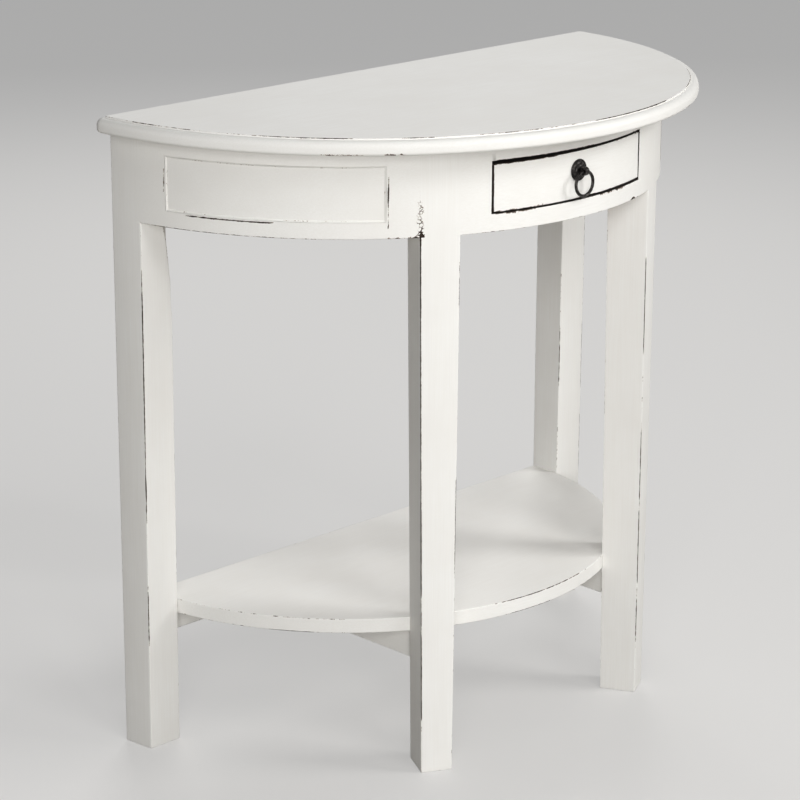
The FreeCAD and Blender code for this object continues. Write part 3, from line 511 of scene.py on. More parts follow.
def merged_copy(node):
    """A copy of a node's mesh with its loose triangles merged into whole faces."""
    settle()
    name = node + "_piece"
    piece = bpy.data.objects.new(name, frame["nodes"][node].data.copy())
    bpy.context.scene.collection.objects.link(piece)
    piece.data.name = name
    piece.data.materials.clear()
    edit(piece)
    bpy.ops.mesh.customdata_custom_splitnormals_clear()
    take_all()
    bpy.ops.mesh.remove_doubles(threshold=WELD)
    bpy.ops.mesh.dissolve_limited(angle_limit=FLAT_ANGLE)
    close_up()
    return piece


def mirrored(piece, name):
    """A copy on the other side of the table."""
    activate(piece)
    bpy.ops.object.duplicate()
    twin = fresh(name, (-1, 1, 1))
    edit(twin)
    close_up()
    return twin


@lru_cache(None)
def surface(node):
    mesh = frame["nodes"][node].data
    return BVHTree.FromPolygons([v.co for v in mesh.vertices], [p.vertices for p in mesh.polygons])


def neighbours(node):
    groups = frame["record"]["behaviour"]["bodies"].values()
    own = next(group for group in groups if node in group)
    return [surface(other) for other in own if other != node and other not in BURIED]


def is_arris(edge):
    return len(edge.link_faces) == 2 and edge.is_convex and edge.calc_face_angle() > SHARP_ANGLE


def is_bare(edge, trees):
    """True where no other piece lies against an edge."""
    a, b = (v.co for v in edge.verts)
    places = [a.lerp(b, share) for share in ARRIS_PROBES]
    return all(tree.find_nearest(p, TOUCH)[0] is None for tree in trees for p in places)


def soften(piece, node, width, segments=ARRIS_SEGMENTS):
    """Round the bare arrises of a piece, and return the lines that they ran along."""
    trees = neighbours(node)
    edit(piece)
    while pick("EDGE", lambda e: is_arris(e) and e.calc_length() > ARRIS_PIECE):
        bpy.ops.mesh.subdivide(number_cuts=1)
    need("EDGE", lambda e: is_arris(e) and is_bare(e, trees))
    lines = chosen_lines()
    round_off(width, segments, ARRIS_SHARPNESS)
    close_up()
    return lines


# Wear


def line_mark(start, end, strength):
    """A worn stretch along a straight line: its points and its strength."""
    count = max(2, math.ceil((end - start).length / MARK_STEP))
    return [start.lerp(end, i / count) for i in range(count + 1)], strength


def upright_marks(place, *stretches):
    """Worn stretches along the line that place gives at each height, from and to in millimetres."""
    return [line_mark(place(low * MM), place(high * MM), strength) for low, high, strength in stretches]


def arc_marks(height, *stretches, radius=None, centre=None):
    """Worn stretches along an arc, from and to in degrees."""
    marks = []
    for start, end, strength in stretches:
        a, b = math.radians(start), math.radians(end)
        reach = (arc_radius() if radius is None else radius) * (b - a)
        count = max(2, math.ceil(reach / MARK_STEP))
        points = [on_arc(a + (b - a) * i / count, height, radius, centre) for i in range(count + 1)]
        marks.append((points, strength))
    return marks


def distances(places, points):
    """Distance from each place to the nearest of some points."""
    cloud = np.array(points)
    return np.array([np.sqrt(((cloud - p) ** 2).sum(1).min()) for p in places])


def line_distances(places, lines):
    """Distance from each place to the nearest of some short lines."""
    starts = np.array([a for a, b in lines])
    runs = np.array([b for a, b in lines]) - starts
    squares = (runs**2).sum(1)
    found = np.empty(len(places))
    for i, p in enumerate(places):
        shares = np.clip(((p - starts) * runs).sum(1) / squares, 0, 1)
        gaps = starts + runs * shares[:, None] - p
        found[i] = np.sqrt((gaps**2).sum(1).min())
    return found


def store(piece, name, values):
    """Keep a value on each point for the paint to read."""
    layer = piece.data.attributes.new(name, "FLOAT", "POINT")
    layer.data.foreach_set("value", values.astype(np.float32))


def reached(places, scars):
    """How strongly scars, groups of marks with a reach, show at each place, on an arris or not."""
    shown = np.zeros(len(places))
    for marks, reach in scars:
        for points, strength in marks:
            shown = np.maximum(shown, strength * np.clip(1 - distances(places, points) / reach, 0, 1))
    return shown


def hand_over(piece, node, material, body="table_frame"):
    """Smooth a finished piece, with its flat faces kept flat, and put it in its node's place."""
    activate(piece)
    bpy.ops.object.shade_smooth_by_angle(angle=SMOOTH_ANGLE)
    modify(piece, "WEIGHTED_NORMAL", keep_sharp=True)
    piece.data.materials.clear()
    piece.data.materials.append(material)
    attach(piece, body)
    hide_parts(node)


def paint(piece, node, strokes, lines, marks=(), scars=(), cracks=(), share=1, body="table_frame"):
    """Paint a piece and hand it over, with the paint rubbed along its arrises over a share of the
    usual reach, more at marks, and also at scars, and cracked at cracks."""
    places = np.array([v.co for v in piece.data.vertices])
    near = np.clip(RUB_FULLNESS * (1 - line_distances(places, lines) / (share * sizes().wear)), 0, 1)
    patches = np.array([noise.noise(Vector(p) / RUB_PATCH) for p in places])
    strength = np.clip(BARE_RUB + RUB_SPREAD * patches, 0, 1)
    for points, mark in marks:
        fade = np.clip(MARK_FULLNESS * (1 - distances(places, points) / MARK_REACH), 0, 1)
        strength = np.maximum(strength, mark * fade)
    store(piece, "rubbing", np.maximum(near * strength, reached(places, scars)))
    store(piece, "crackle", reached(places, cracks))
    hand_over(piece, node, chalk_paint(strokes), body)


def stain_faces(piece, test):
    """Give the faces that look into the drawer's gap a near-black painted shade, for the shade in that deep
    gap.
    """
    piece.data.materials.append(stained_wood())
    edit(piece)
    need("FACE", test)
    piece.active_material_index = 1
    bpy.ops.object.material_slot_assign()
    settle()


def within_frame(piece):
    """Bring points that a rounded corner pushed out back to the floor and to the wall's plane."""
    edit(piece)
    if pick("VERT", lambda v: v.co.z < 0):
        bpy.ops.transform.resize(value=(1, 1, 0), center_override=(0, 0, 0))
    if pick("VERT", lambda v: v.co.y > BACK_Y):
        bpy.ops.transform.resize(value=(1, 0, 1), center_override=(0, BACK_Y, 0))
    settle()


# Materials

RGBA = {"give": 2, "data_type": "RGBA"}


def add_node(tree, kind, inputs=None, give=0, **settings):
    """Add a shader node, set it, link or fill its inputs, and give one of its outputs, or all for None."""
    made = tree.nodes.new("ShaderNode" + kind)
    for key, value in settings.items():
        setattr(made, key, value)
    for socket, value in (inputs or {}).items():
        if isinstance(value, bpy.types.NodeSocket):
            tree.links.new(value, made.inputs[socket])
        else:
            made.inputs[socket].default_value = value
    return made.outputs if give is None else made.outputs[give]


def finish(label):
    """Make a function that lays a surface's nodes into one that gives its material, made on first use."""

    def wrap(lay):
        def material_of(*words):
            name = label.format(*words)
            material = bpy.data.materials.get(name)
            if material is None:
                material = bpy.data.materials.new(name)
                material.use_nodes = True
                tree = material.node_tree
                tree.nodes.clear()
                add = partial(add_node, tree)
                face = lay(add, bpy.context.scene.table_colours, *words)
                add("OutputMaterial", {"Surface": face}, None)
            return material

        return material_of

    return wrap


def grain_space(add, strokes, run, width):
    """Coordinates along the strokes, in shares of their run, and the two ways across, in shares of
    their width."""
    place = add("TexCoord", give="Object")
    if strokes == "round":
        place = add("VectorMath", {0: place, 1: arc_centre()}, operation="SUBTRACT")
    x, y, z = add("SeparateXYZ", {"Vector": place}, None)
    if strokes == "round":
        forward = add("Math", {0: y, 1: -1.0}, operation="MULTIPLY")
        angle = add("Math", {0: x, 1: forward}, operation="ARCTAN2")
        x = add("Math", {0: angle, 1: arc_radius()}, operation="MULTIPLY")
    order = {"across": (x, y, z), "deep": (y, x, z), "upright": (z, x, y), "round": (x, z, y)}[strokes]
    space = add("CombineXYZ", dict(zip("XYZ", order)))
    return add("Mapping", {"Vector": space, "Scale": (1 / run, 1 / width, 1 / width)})


@finish("rubbed chalk paint, brushed {}")
def chalk_paint(add, colours, strokes):
    """Chalk paint brushed on wood and rubbed through: matt, faintly streaked along the strokes,
    with chips of dark wood that keep a brown rim where edges are handled."""
    stroke_length, stroke_width, stroke_relief, coat_relief = 70 * MM, 1.6 * MM, 0.08 * MM, 0.4 * MM
    mottle_size, patch_size, chip_size, flake_size = 90 * MM, 7 * MM, 1.5 * MM, 3.4 * MM
    patch_swing, chip_swing, crack_share = 0.42, 0.26, 0.3
    gone_range, thin_range, shading_range = (0.46, 0.53), (0.36, 0.50), (0.12, 0.42)
    paint_rough, wood_rough = 0.62, 0.85
    place = add("TexCoord", give="Object")
    streaks = grain_space(add, strokes, stroke_length, stroke_width)
    brush = add("TexNoise", {"Vector": streaks, "Scale": 1.0, "Detail": 3.0, "Roughness": 0.55})
    mottle, patch, chip = (
        add("TexNoise", {"Vector": place, "Scale": 1 / size, "Detail": detail, "Roughness": rough})
        for size, detail, rough in ((mottle_size, 3.0, 0.6), (patch_size, 2.0, 0.6), (chip_size, 2.0, 0.7))
    )
    patchy, chippy = (
        add("MapRange", {0: spots, 3: -swing, 4: swing})
        for spots, swing in ((patch, patch_swing), (chip, chip_swing))
    )
    uneven = add("Math", {0: patchy, 1: chippy})
    flakes = add("TexVoronoi", {"Vector": place, "Scale": 1 / flake_size}, feature="DISTANCE_TO_EDGE")
    crack = add("MapRange", {0: flakes, 1: 0.0, 2: crack_share, 3: 1.0, 4: 0.0})
    rubbing = add("Attribute", give="Fac", attribute_name="rubbing")
    crackle = add("Attribute", give="Fac", attribute_name="crackle")
    open_crack = add("Math", {0: crackle, 1: crack, 2: rubbing}, operation="MULTIPLY_ADD")
    worn = add("Math", {0: open_crack, 1: uneven})
    gone, thin = (
        add("MapRange", {0: worn, 1: start, 2: full}, interpolation_type="SMOOTHSTEP")
        for start, full in (gone_range, thin_range)
    )
    streaky = add("Math", {0: mottle, 1: brush}, operation="MULTIPLY")
    shading = add("MapRange", {0: streaky, 1: shading_range[0], 2: shading_range[1]})
    coat = add("Mix", {0: shading, 6: colours.paint_shade, 7: colours.paint}, **RGBA)
    rimmed = add("Mix", {0: thin, 6: coat, 7: colours.stain}, **RGBA)
    face = add("Mix", {0: gone, 6: rimmed, 7: colours.rubbed}, **RGBA)
    rough = add("MapRange", {0: gone, 3: paint_rough, 4: wood_rough})
    ridges = add("Bump", {"Height": brush, "Strength": 0.15, "Distance": stroke_relief})
    edges = {"Height": gone, "Strength": 0.7, "Distance": coat_relief, "Normal": ridges}
    relief = add("Bump", edges, invert=True)
    look = {"Base Color": face, "Roughness": rough, "Normal": relief, "Specular IOR Level": 0.3}
    return add("BsdfPrincipled", look)


@finish("planed bare wood, grain {}")
def planed_wood(add, colours, strokes):
    """Planed hardwood left bare: warm brown, dull, with long darker grain lines and fine pores."""
    grain_length, grain_width, pore_length, pore_width = 220 * MM, 5 * MM, 27.5 * MM, 0.7 * MM
    band_range, pore_range, pore_share, pore_relief = (0.35, 0.68), (0.55, 0.75), 0.5, 0.1 * MM
    bands = grain_space(add, strokes, grain_length, grain_width)
    grain = add("TexNoise", {"Vector": bands, "Scale": 1.0, "Detail": 4.0, "Distortion": 0.4})
    fine = grain_space(add, strokes, pore_length, pore_width)
    pores = add("TexNoise", {"Vector": fine, "Scale": 1.0, "Detail": 2.0})
    banded = add("MapRange", {0: grain, 1: band_range[0], 2: band_range[1]})
    pitted = add("MapRange", {0: pores, 1: pore_range[0], 2: pore_range[1], 4: pore_share})
    dark = add("Math", {0: banded, 1: pitted}, use_clamp=True)
    face = add("Mix", {0: dark, 6: colours.wood, 7: colours.wood_dark}, **RGBA)
    relief = add("Bump", {"Height": pores, "Strength": 0.2, "Distance": pore_relief})
    return add("BsdfPrincipled", {"Base Color": face, "Roughness": 0.68, "Normal": relief})


@finish("dark stained wood")
def stained_wood(add, colours):
    """Near-black painted shade for the faces round the drawer's gap, which lie in shade: dull, with faint
    grain.
    """
    grain_length, grain_width, grain_relief = 60 * MM, 1.5 * MM, 0.1 * MM
    bands = grain_space(add, "round", grain_length, grain_width)
    grain = add("TexNoise", {"Vector": bands, "Scale": 1.0, "Detail": 3.0})
    face = add("Mix", {0: grain, 6: colours.opening, 7: colours.rubbed}, **RGBA)
    relief = add("Bump", {"Height": grain, "Strength": 0.2, "Distance": grain_relief})
    return add("BsdfPrincipled", {"Base Color": face, "Roughness": 0.75, "Normal": relief})


@finish("blackened iron")
def blackened_iron(add, colours):
    """Forged iron blackened with oil: near black, half glossy, paler where fingers polish it."""
    hammer_size, hammer_relief, grit_size = 4 * MM, 0.3 * MM, 0.6 * MM
    polish_range, grit_range, rough_range = (0.45, 0.75), (0.3, 0.7), (0.32, 0.52)
    place = add("TexCoord", give="Object")
    hammer, grit = (
        add("TexNoise", {"Vector": place, "Scale": 1 / size, "Detail": 2.0})
        for size in (hammer_size, grit_size)
    )
    polished = add("MapRange", {0: hammer, 1: polish_range[0], 2: polish_range[1]})
    face = add("Mix", {0: polished, 6: colours.iron, 7: colours.iron_worn}, **RGBA)
    rough = add("MapRange", {0: grit, **dict(enumerate(grit_range + rough_range, 1))})
    relief = add("Bump", {"Height": hammer, "Strength": 0.5, "Distance": hammer_relief})
    look = {"Base Color": face, "Metallic": 0.85, "Roughness": rough, "Normal": relief}
    return add("BsdfPrincipled", look)


@finish("drawn steel")
def drawn_steel(add, colours):
    """Plain drawn steel: grey, half bright, with a fine scatter of duller spots."""
    spot_size, spot_range, rough_range = 1.2 * MM, (0.3, 0.7), (0.25, 0.45)
    place = add("TexCoord", give="Object")
    spots = add("TexNoise", {"Vector": place, "Scale": 1 / spot_size, "Detail": 3.0})
    rough = add("MapRange", {0: spots, **dict(enumerate(spot_range + rough_range, 1))})
    return add("BsdfPrincipled", {"Base Color": colours.steel, "Metallic": 1.0, "Roughness": rough})


@finish("pale floor")
def sealed_floor(add, colours):
    """Smooth pale floor: matt, with the faintest cloudiness, and even all over to the eye. It throws
    back less light than it shows, as a wooden floor would, so that the undersides stay in shade."""
    cloud_size, cloud_lift = 900 * MM, 1.03
    place = add("TexCoord", give="Object")
    clouds = add("TexNoise", {"Vector": place, "Scale": 1 / cloud_size, "Detail": 2.0})
    paler = tuple(min(1, value * cloud_lift) for value in colours.floor)
    seen = add("Mix", {0: clouds, 6: colours.floor, 7: paler}, **RGBA)
    path = add("LightPath", give=None)
    direct = add("Math", {0: path["Is Camera Ray"], 1: path["Is Glossy Ray"]})
    looked_at = add("Math", {0: direct, 1: path["Is Transmission Ray"]}, use_clamp=True)
    face = add("Mix", {0: looked_at, 6: colours.floor_light, 7: seen}, **RGBA)
    glow = bpy.context.scene.table_stage.floor_glow
    evenly = add("Math", {0: looked_at, 1: glow}, operation="MULTIPLY")
    look = {"Base Color": face, "Roughness": 0.7, "Emission Color": (1, 1, 1, 1), "Emission Strength": evenly}
    return add("BsdfPrincipled", look)


# Pieces


class TABLE_OT_top(bpy.types.Operator):
    """Half-round top: a disc cut straight behind, with a step and a rounded nose all round"""

    bl_idname = "demilune.top"
    bl_label = "Top"

    def execute(self, context):
        size = sizes()
        ledge = TOP_HIGH.z - size.edge_step
        place = TOP_CENTRE + UP * (ledge + UNDER_TOP) / 2
        piece = cylinder("top_board", ROUND_STEPS, TOP_RADIUS, ledge - UNDER_TOP, place)
        edit(piece)
        trim(BACKWARD * BACK_Y, BACKWARD)
        room = BACK_ROOM_SHARE * size.edge_inset
        need("EDGE", lambda e: all(SMALL < BACK_Y - v.co.y < room for v in e.verts) and upright(e))
        bpy.ops.mesh.dissolve_edges(use_verts=True)
        need("EDGE", lambda e: upright(e) and BACK_Y - e.verts[0].co.y < SMALL)
        round_off(size.corner_round, NOSE_SEGMENTS)
        need("FACE", lambda f: f.normal.z > FACING)
        bpy.ops.mesh.inset(thickness=size.edge_inset)
        bpy.ops.mesh.extrude_region_move(TRANSFORM_OT_translate={"value": UP * size.edge_step})

        def outside(edge):
            middle = middle_of(edge)
            reach = TOP_RADIUS - (middle - TOP_CENTRE).xy.length
            return min(reach, BACK_Y - middle.y) < size.edge_inset / 2

        need("EDGE", lambda e: level(e, ledge) and outside(e))
        round_off(size.nose_round, NOSE_SEGMENTS)
        need("EDGE", lambda e: level(e, UNDER_TOP))
        round_off(size.under_round, UNDER_SEGMENTS)
        need("EDGE", lambda e: level(e, TOP_HIGH.z) and is_arris(e))
        rim = chosen_lines()
        round_off(size.rim_soft, RIM_SEGMENTS)
        need("FACE", lambda f: f.normal.z > FACING and f.calc_center_median().z > TOP_HIGH.z - SMALL)
        bpy.ops.mesh.inset(thickness=size.wear)
        close_up()
        nose_low = UNDER_TOP + size.under_round / 2
        nose = {"radius": TOP_RADIUS - size.under_round / 4, "centre": TOP_CENTRE}
        step = {"radius": TOP_RADIUS - size.edge_inset, "centre": TOP_CENTRE}
        marks = arc_marks(TOP_HIGH.z, *TOP_RIM_MARKS, **step)
        scars = [(arc_marks(nose_low, *NOSE_SCARS, **nose), NOSE_REACH)]
        paint(piece, "top_panel", "across", rim, marks, scars)
        return {"FINISHED"}


def wrapped_on_arc(piece, chosen, axis):
    """Lay the chosen points of a leg on the aprons' curve, along an axis, X or Y."""
    place = arc_centre() + UP * TOP_HIGH.z / 2
    drum = cylinder("arc_drum", DRUM_STEPS, arc_radius(), DRUM_HEIGHTS * TOP_HIGH.z, place)
    group = piece.vertex_groups.new(name="outer face")
    group.add([v.index for v in piece.data.vertices if chosen(v.co)], 1, "REPLACE")
    modify(
        piece,
        "SHRINKWRAP",
        target=drum,
        vertex_group=group.name,
        wrap_method="PROJECT",
        use_project_x=axis == "X",
        use_project_y=axis == "Y",
        use_positive_direction=True,
        use_negative_direction=True,
        project_limit=WRAP_LIMIT,
    )
    piece.vertex_groups.clear()
    bpy.data.objects.remove(drum)


def leg_blank(name, low, high, foot_shift, narrow, across):
    """A square leg, straight at the apron and tapered below it: the inner face moves by
    foot_shift at the floor, and the width there is the narrow share of the width above.
    Columns divide the face that is to be curved, which lies across X or Y."""
    settle()
    bpy.ops.mesh.primitive_cube_add(size=1, location=(low + high) / 2)
    piece = fresh(name, high - low)
    edit(piece)
    divide(UP * APRON_FOOT, UP)
    for i in range(1, LEG_COLUMNS):
        divide(low.lerp(high, i / LEG_COLUMNS), across)
    need("VERT", lambda v: v.co.z < SMALL)
    bpy.ops.transform.resize(value=(narrow, 1, 1), center_override=((low.x + high.x) / 2, 0, 0))
    inner_y = high.y if foot_shift < 0 else low.y
    need("VERT", lambda v: v.co.z < SMALL and abs(v.co.y - inner_y) < SMALL)
    bpy.ops.transform.translate(value=BACKWARD * foot_shift)
    need("EDGE", lambda e: abs(e.verts[0].co.z - e.verts[1].co.z) > APRON_FOOT / 2)
    bpy.ops.mesh.subdivide(number_cuts=round(APRON_FOOT / ARRIS_PIECE))

    def in_apron(edge):
        low_end, high_end = sorted(v.co.z for v in edge.verts)
        return low_end > APRON_FOOT - SMALL and high_end - low_end > SMALL

    need("EDGE", in_apron)
    bpy.ops.mesh.subdivide(number_cuts=round((UNDER_TOP - APRON_FOOT) / ARRIS_PIECE))
    divide(UP * (APRON_FOOT + ARRIS_END), UP)
    bpy.ops.object.mode_set(mode="OBJECT")
    return piece


def leg_arris(leg, arris, height):
    """A place on a leg's arris: the left or right one of a front leg's outer face, or the outer or
    inner one of a back leg's front."""
    size = sizes()
    share = min(1, height / APRON_FOOT)
    side = -1 if "left" in leg else 1
    if arris in ("left", "right"):
        half = (size.foot_width + (size.leg_width - size.foot_width) * share) / 2
        reach = math.sqrt(arc_radius() ** 2 - half**2)
        angle = side * size.leg_angle
        across = along(angle) * (-half if arris == "left" else half)
        return arc_centre() + outward(angle) * reach + across + UP * height
    if arris == "inner":
        return Vector((-side * BACK_LEG_HIGH.x, BACK_LEG_LOW.y, height))
    y = BACK_Y - (size.back_foot_width + (size.back_leg_width - size.back_foot_width) * share)
    reach = math.sqrt(arc_radius() ** 2 - (y - arc_centre().y) ** 2)
    return Vector((side * reach, y, height))


def seam_cracks():
    """Cracked paint over the joint beside the left front leg, fading upwards."""
    marks = upright_marks(lambda h: leg_arris("front_left_leg", "left", APRON_FOOT + h), *CRACKS)
    return [(marks, CRACK_REACH)]


class TABLE_OT_legs(bpy.types.Operator):
    """Four tapered legs whose outer faces follow the apron's curve"""

    bl_idname = "demilune.legs"
    bl_label = "Legs"

    def execute(self, context):
        size = sizes()
        centre, radius, half = arc_centre(), arc_radius(), size.leg_width / 2
        front_left = leg_blank(
            "front_left_leg_piece",
            Vector((-half, centre.y - radius, 0)),
            Vector((half, centre.y - radius + size.leg_depth, UNDER_TOP)),
            size.foot_depth - size.leg_depth,
            size.foot_width / size.leg_width,
            RIGHT,
        )
        wrapped_on_arc(front_left, lambda p: p.y < centre.y - radius + SMALL, "Y")
        turn_about = Matrix.Translation(centre) @ Matrix.Rotation(-size.leg_angle, 4, "Z")
        activate(front_left)
        front_left.matrix_world = turn_about @ Matrix.Translation(-centre)
        settle_place()
        back_left = leg_blank(
            "back_left_leg_piece",
            Vector((-radius, BACK_Y - size.back_leg_width, 0)),
            Vector((BACK_LEG_HIGH.x, BACK_Y, UNDER_TOP)),
            size.back_leg_width - size.back_foot_width,
            1,
            BACKWARD,
        )
        wrapped_on_arc(back_left, lambda p: p.x < SMALL - radius, "X")
        legs = {
            "front_left_leg": front_left,
            "back_left_leg": back_left,
            "front_right_leg": mirrored(front_left, "front_right_leg_piece"),
            "back_right_leg": mirrored(back_left, "back_right_leg_piece"),
        }
        self.pare(back_left)
        for node, piece in legs.items():
            lines = soften(piece, node, size.arris, LEG_ARRIS_SEGMENTS)
            within_frame(piece)
            marks = []
            for (leg, arris), stretches in LEG_MARKS.items():
                if leg == node:
                    marks += upright_marks(lambda h: leg_arris(leg, arris, h), *stretches)
            cracks = seam_cracks() if node == "front_left_leg" else ()
            paint(piece, node, "upright", lines, marks, cracks=cracks)
        return {"FINISHED"}

    def pare(self, leg):
        """Pare the inner arris of the left back leg in a curve that deepens towards the apron."""
        size = sizes()
        middle_x = (BACK_LEG_LOW.x + BACK_LEG_HIGH.x) / 2
        front_y = BACK_LEG_LOW.y + size.arris
        edit(leg)
        for step in range(PARE_STEPS):
            start = APRON_FOOT - size.pare_height * (1 - math.sqrt(step / PARE_STEPS))
            need("VERT", lambda v: v.co.z > start and v.co.x > middle_x and v.co.y < front_y)
            bpy.ops.transform.translate(value=RIGHT * (-size.pare_depth / PARE_STEPS))
        settle()


def leg_side(sign, inward):
    """Plane of a front leg's side: sign is the leg's, and inward chooses the side at the drawer."""
    angle = sign * sizes().leg_angle
    step = -sign if inward else sign
    normal = along(angle) * -step
    return arc_centre() + along(angle) * step * sizes().leg_width / 2, normal


def panel_span():
    """Angles between which the left panel lies."""
    high = corners("left_apron_panel")[1]
    inner = arc_centre() - BACKWARD * high.y
    back = -math.acos(inner.y / (arc_radius() - sizes().panel_drop))
    front = -math.asin(-high.x / (arc_radius() - sizes().panel_recess + PANEL_SEAT))
    return back, front


class TABLE_OT_side_aprons(bpy.types.Operator):
    """Curved side aprons, each with a shallow recess and the panel that lies in it"""

    bl_idname = "demilune.side_aprons"
    bl_label = "Side aprons and panels"

    def execute(self, context):
        size = sizes()
        radius = arc_radius()
        low, high = (corner.z for corner in corners("left_apron_panel"))
        back, front = panel_span()
        gap_turn = size.panel_gap / radius
        paint_fill = size.panel_gap - SMALL
        back_end = -math.acos((arc_centre().y - BACK_LEG_LOW.y) / radius)
        start, end = back_end - SPARE_TURN, -size.leg_angle
        apron = spun(
            "left_apron_piece", radius - size.board, radius, APRON_FOOT, UNDER_TOP, start, end, in_rows=False
        )
        scar_foot = low - size.scar_drop
        scar_back = back - size.back_scar / radius
        scar_front = front + size.front_scar / radius
        loops = (-SCAR_REACH, 0, SCAR_REACH)
        heights = [low - size.panel_gap, high + size.panel_gap]
        heights += [APRON_FOOT + CHIP_REACH * share for share in CHIP_ROWS]
        heights += [APRON_FOOT + head * MM for _, head, _ in CRACKS[1:]]
        heights += [scar_foot + loop for loop in loops]
        for height in heights:
            divide(UP * height, UP)
        angles = [back - gap_turn, front + gap_turn]
        angles += [scar + loop / radius for scar in (scar_back, scar_front) for loop in loops]
        for angle in angles:
            divide(arc_centre(), along(angle))
        trim(BACKWARD * BACK_LEG_LOW.y, BACKWARD)
        joint, beyond = leg_side(-1, False)
        trim(joint, beyond)
        for share in CRACK_COLUMNS:
            divide(joint - beyond * CRACK_REACH * share, beyond)

        def sunk(place):
            return radius - (place - arc_centre()).xy.length

        def at_panel(place, gaps):
            """True at the left panel or within some widths of the gap round it."""
            spot = place - arc_centre()
            room, room_turn = gaps * size.panel_gap, gaps * gap_turn
            in_turn = back - room_turn < math.atan2(spot.x, -spot.y) < front + room_turn
            return in_turn and low - room < place.z < high + room

        def in_recess(face):
            place = face.calc_center_median()
            return sunk(place) < size.panel_drop and at_panel(place, 1)

        def on_rim(edge):
            place = middle_of(edge)
            return abs(sunk(place)) < 2 * SMALL and at_panel(place, 2)

        need("FACE", in_recess)
        bpy.ops.mesh.extrude_region_shrink_fatten(
            TRANSFORM_OT_shrink_fatten={"value": -size.panel_recess}
        )
        need("EDGE", lambda e: is_arris(e) and on_rim(e))
        round_off(size.panel_drop, CHAMFER_SEGMENTS)
        close_up()
        panel = spun(
            "left_panel_piece",
            radius - size.panel_recess + PANEL_SEAT,
            radius - size.panel_drop,
            low - paint_fill,
            high + paint_fill,
            back - paint_fill / radius,
            front + paint_fill / radius,
        )
        close_up()
        pieces = {
            "left_apron": apron,
            "left_apron_panel": panel,
            "right_apron": mirrored(apron, "right_apron_piece"),
            "right_apron_panel": mirrored(panel, "right_panel_piece"),
        }
        scratches = arc_marks(scar_foot, LEFT_PANEL_FOOT_SCAR)
        scratches += upright_marks(lambda h: on_arc(scar_back, h), PANEL_BACK_SCAR)
        scratches += upright_marks(lambda h: on_arc(scar_front, h), *PANEL_FRONT_SCARS)
        scars = {
            "left_apron": [(arc_marks(APRON_FOOT, *APRON_FOOT_CHIPS), CHIP_REACH), (scratches, SCAR_REACH)],
            "right_apron": [(arc_marks(scar_foot, RIGHT_PANEL_FOOT_SCAR), SCAR_REACH)],
        }
        for node, piece in pieces.items():
            if node.endswith("panel"):
                lines = soften(piece, node, size.fine_arris / 4)
                paint(piece, node, "round", lines, share=PANEL_RUB_SHARE)
            else:
                lines = soften(piece, node, size.arris / 2)
                marks = arc_marks(APRON_FOOT, *APRON_FOOT_MARKS[node])
                cracks = seam_cracks() if node == "left_apron" else ()
                paint(piece, node, "round", lines, marks, scars[node], cracks)
        return {"FINISHED"}


class TABLE_OT_front_bay(bpy.types.Operator):
    """Upper and lower rail and two stiles round the drawer's opening"""

    bl_idname = "demilune.front_bay"
    bl_label = "Front rails and stiles"

    def execute(self, context):
        size = sizes()
        radius, reach = arc_radius(), size.leg_angle
        inside = radius - size.board
        rails = {
            "front_upper_rail": (OPENING_HEAD, UNDER_TOP),
            "front_lower_rail": (APRON_FOOT, OPENING_FOOT),
        }
        pieces = {}
        for node, (low, high) in rails.items():
            pieces[node] = spun(node + "_piece", inside, radius, low, high, -reach, reach)
            trim(*leg_side(-1, True))
            trim(*leg_side(1, True))
            if node == "front_lower_rail":
                for share in CHIP_ROWS:
                    divide(UP * (low + CHIP_REACH * share), UP)
                    divide(UP * (high - CHIP_REACH * share), UP)
            close_up()
        name = "front_left_stile_piece"
        stile = spun(name, inside, radius, OPENING_FOOT, OPENING_HEAD, -reach, -reach / 2)
        trim(*leg_side(-1, True))
        trim(RIGHT * corners("front_left_stile")[1].x, RIGHT)
        close_up()
        pieces["front_left_stile"] = stile
        pieces["front_right_stile"] = mirrored(stile, "front_right_stile_piece")
        head, foot = OPENING_FOOT, APRON_FOOT
        marks = {
            "front_lower_rail": arc_marks(head, LOWER_RAIL_HEAD_MARK) + arc_marks(foot, LOWER_RAIL_FOOT_MARK),
            "front_upper_rail": arc_marks(OPENING_HEAD, UPPER_RAIL_MARK),
        }
        chips = arc_marks(head, *LOWER_RAIL_HEAD_CHIPS) + arc_marks(foot, LOWER_RAIL_FOOT_CHIP)
        into_gap = {
            "front_upper_rail": -UP,
            "front_lower_rail": UP,
            "front_left_stile": RIGHT,
            "front_right_stile": -RIGHT,
        }
        for node, piece in pieces.items():
            lines = soften(piece, node, size.fine_arris)
            scars = [(chips, CHIP_REACH)] if node == "front_lower_rail" else ()
            paint(piece, node, "round", lines, marks.get(node, ()), scars)
            # Faces that look into the drawer's gap get a near-black painted shade.
            stain_faces(piece, lambda f: f.normal.dot(into_gap[node]) > GAP_FACING)
        return {"FINISHED"}


class TABLE_OT_shelf(bpy.types.Operator):
    """Half-round shelf let in between the legs"""

    bl_idname = "demilune.shelf"
    bl_label = "Shelf"

    def execute(self, context):
        low, high = corners("shelf")
        radius = arc_centre().y - low.y
        piece = merged_copy("shelf")
        lines = soften(piece, "shelf", sizes().fine_arris)
        marks = arc_marks(low.z, *SHELF_FOOT_MARKS, radius=radius)
        marks += arc_marks(high.z, *SHELF_HEAD_MARKS, radius=radius)
        paint(piece, "shelf", "across", lines, marks)
        return {"FINISHED"}


class TABLE_OT_back_frame(bpy.types.Operator):
    """Back apron, back stretcher and the two bearers under the shelf"""

    bl_idname = "demilune.back_frame"
    bl_label = "Back apron, stretcher and bearers"

    def execute(self, context):
        directions = {
            "back_apron": "across",
            "back_stretcher": "across",
            "left_shelf_bearer": "deep",
            "right_shelf_bearer": "deep",
        }
        for node, strokes in directions.items():
            piece = merged_copy(node)
            paint(piece, node, strokes, soften(piece, node, sizes().fine_arris))
        return {"FINISHED"}


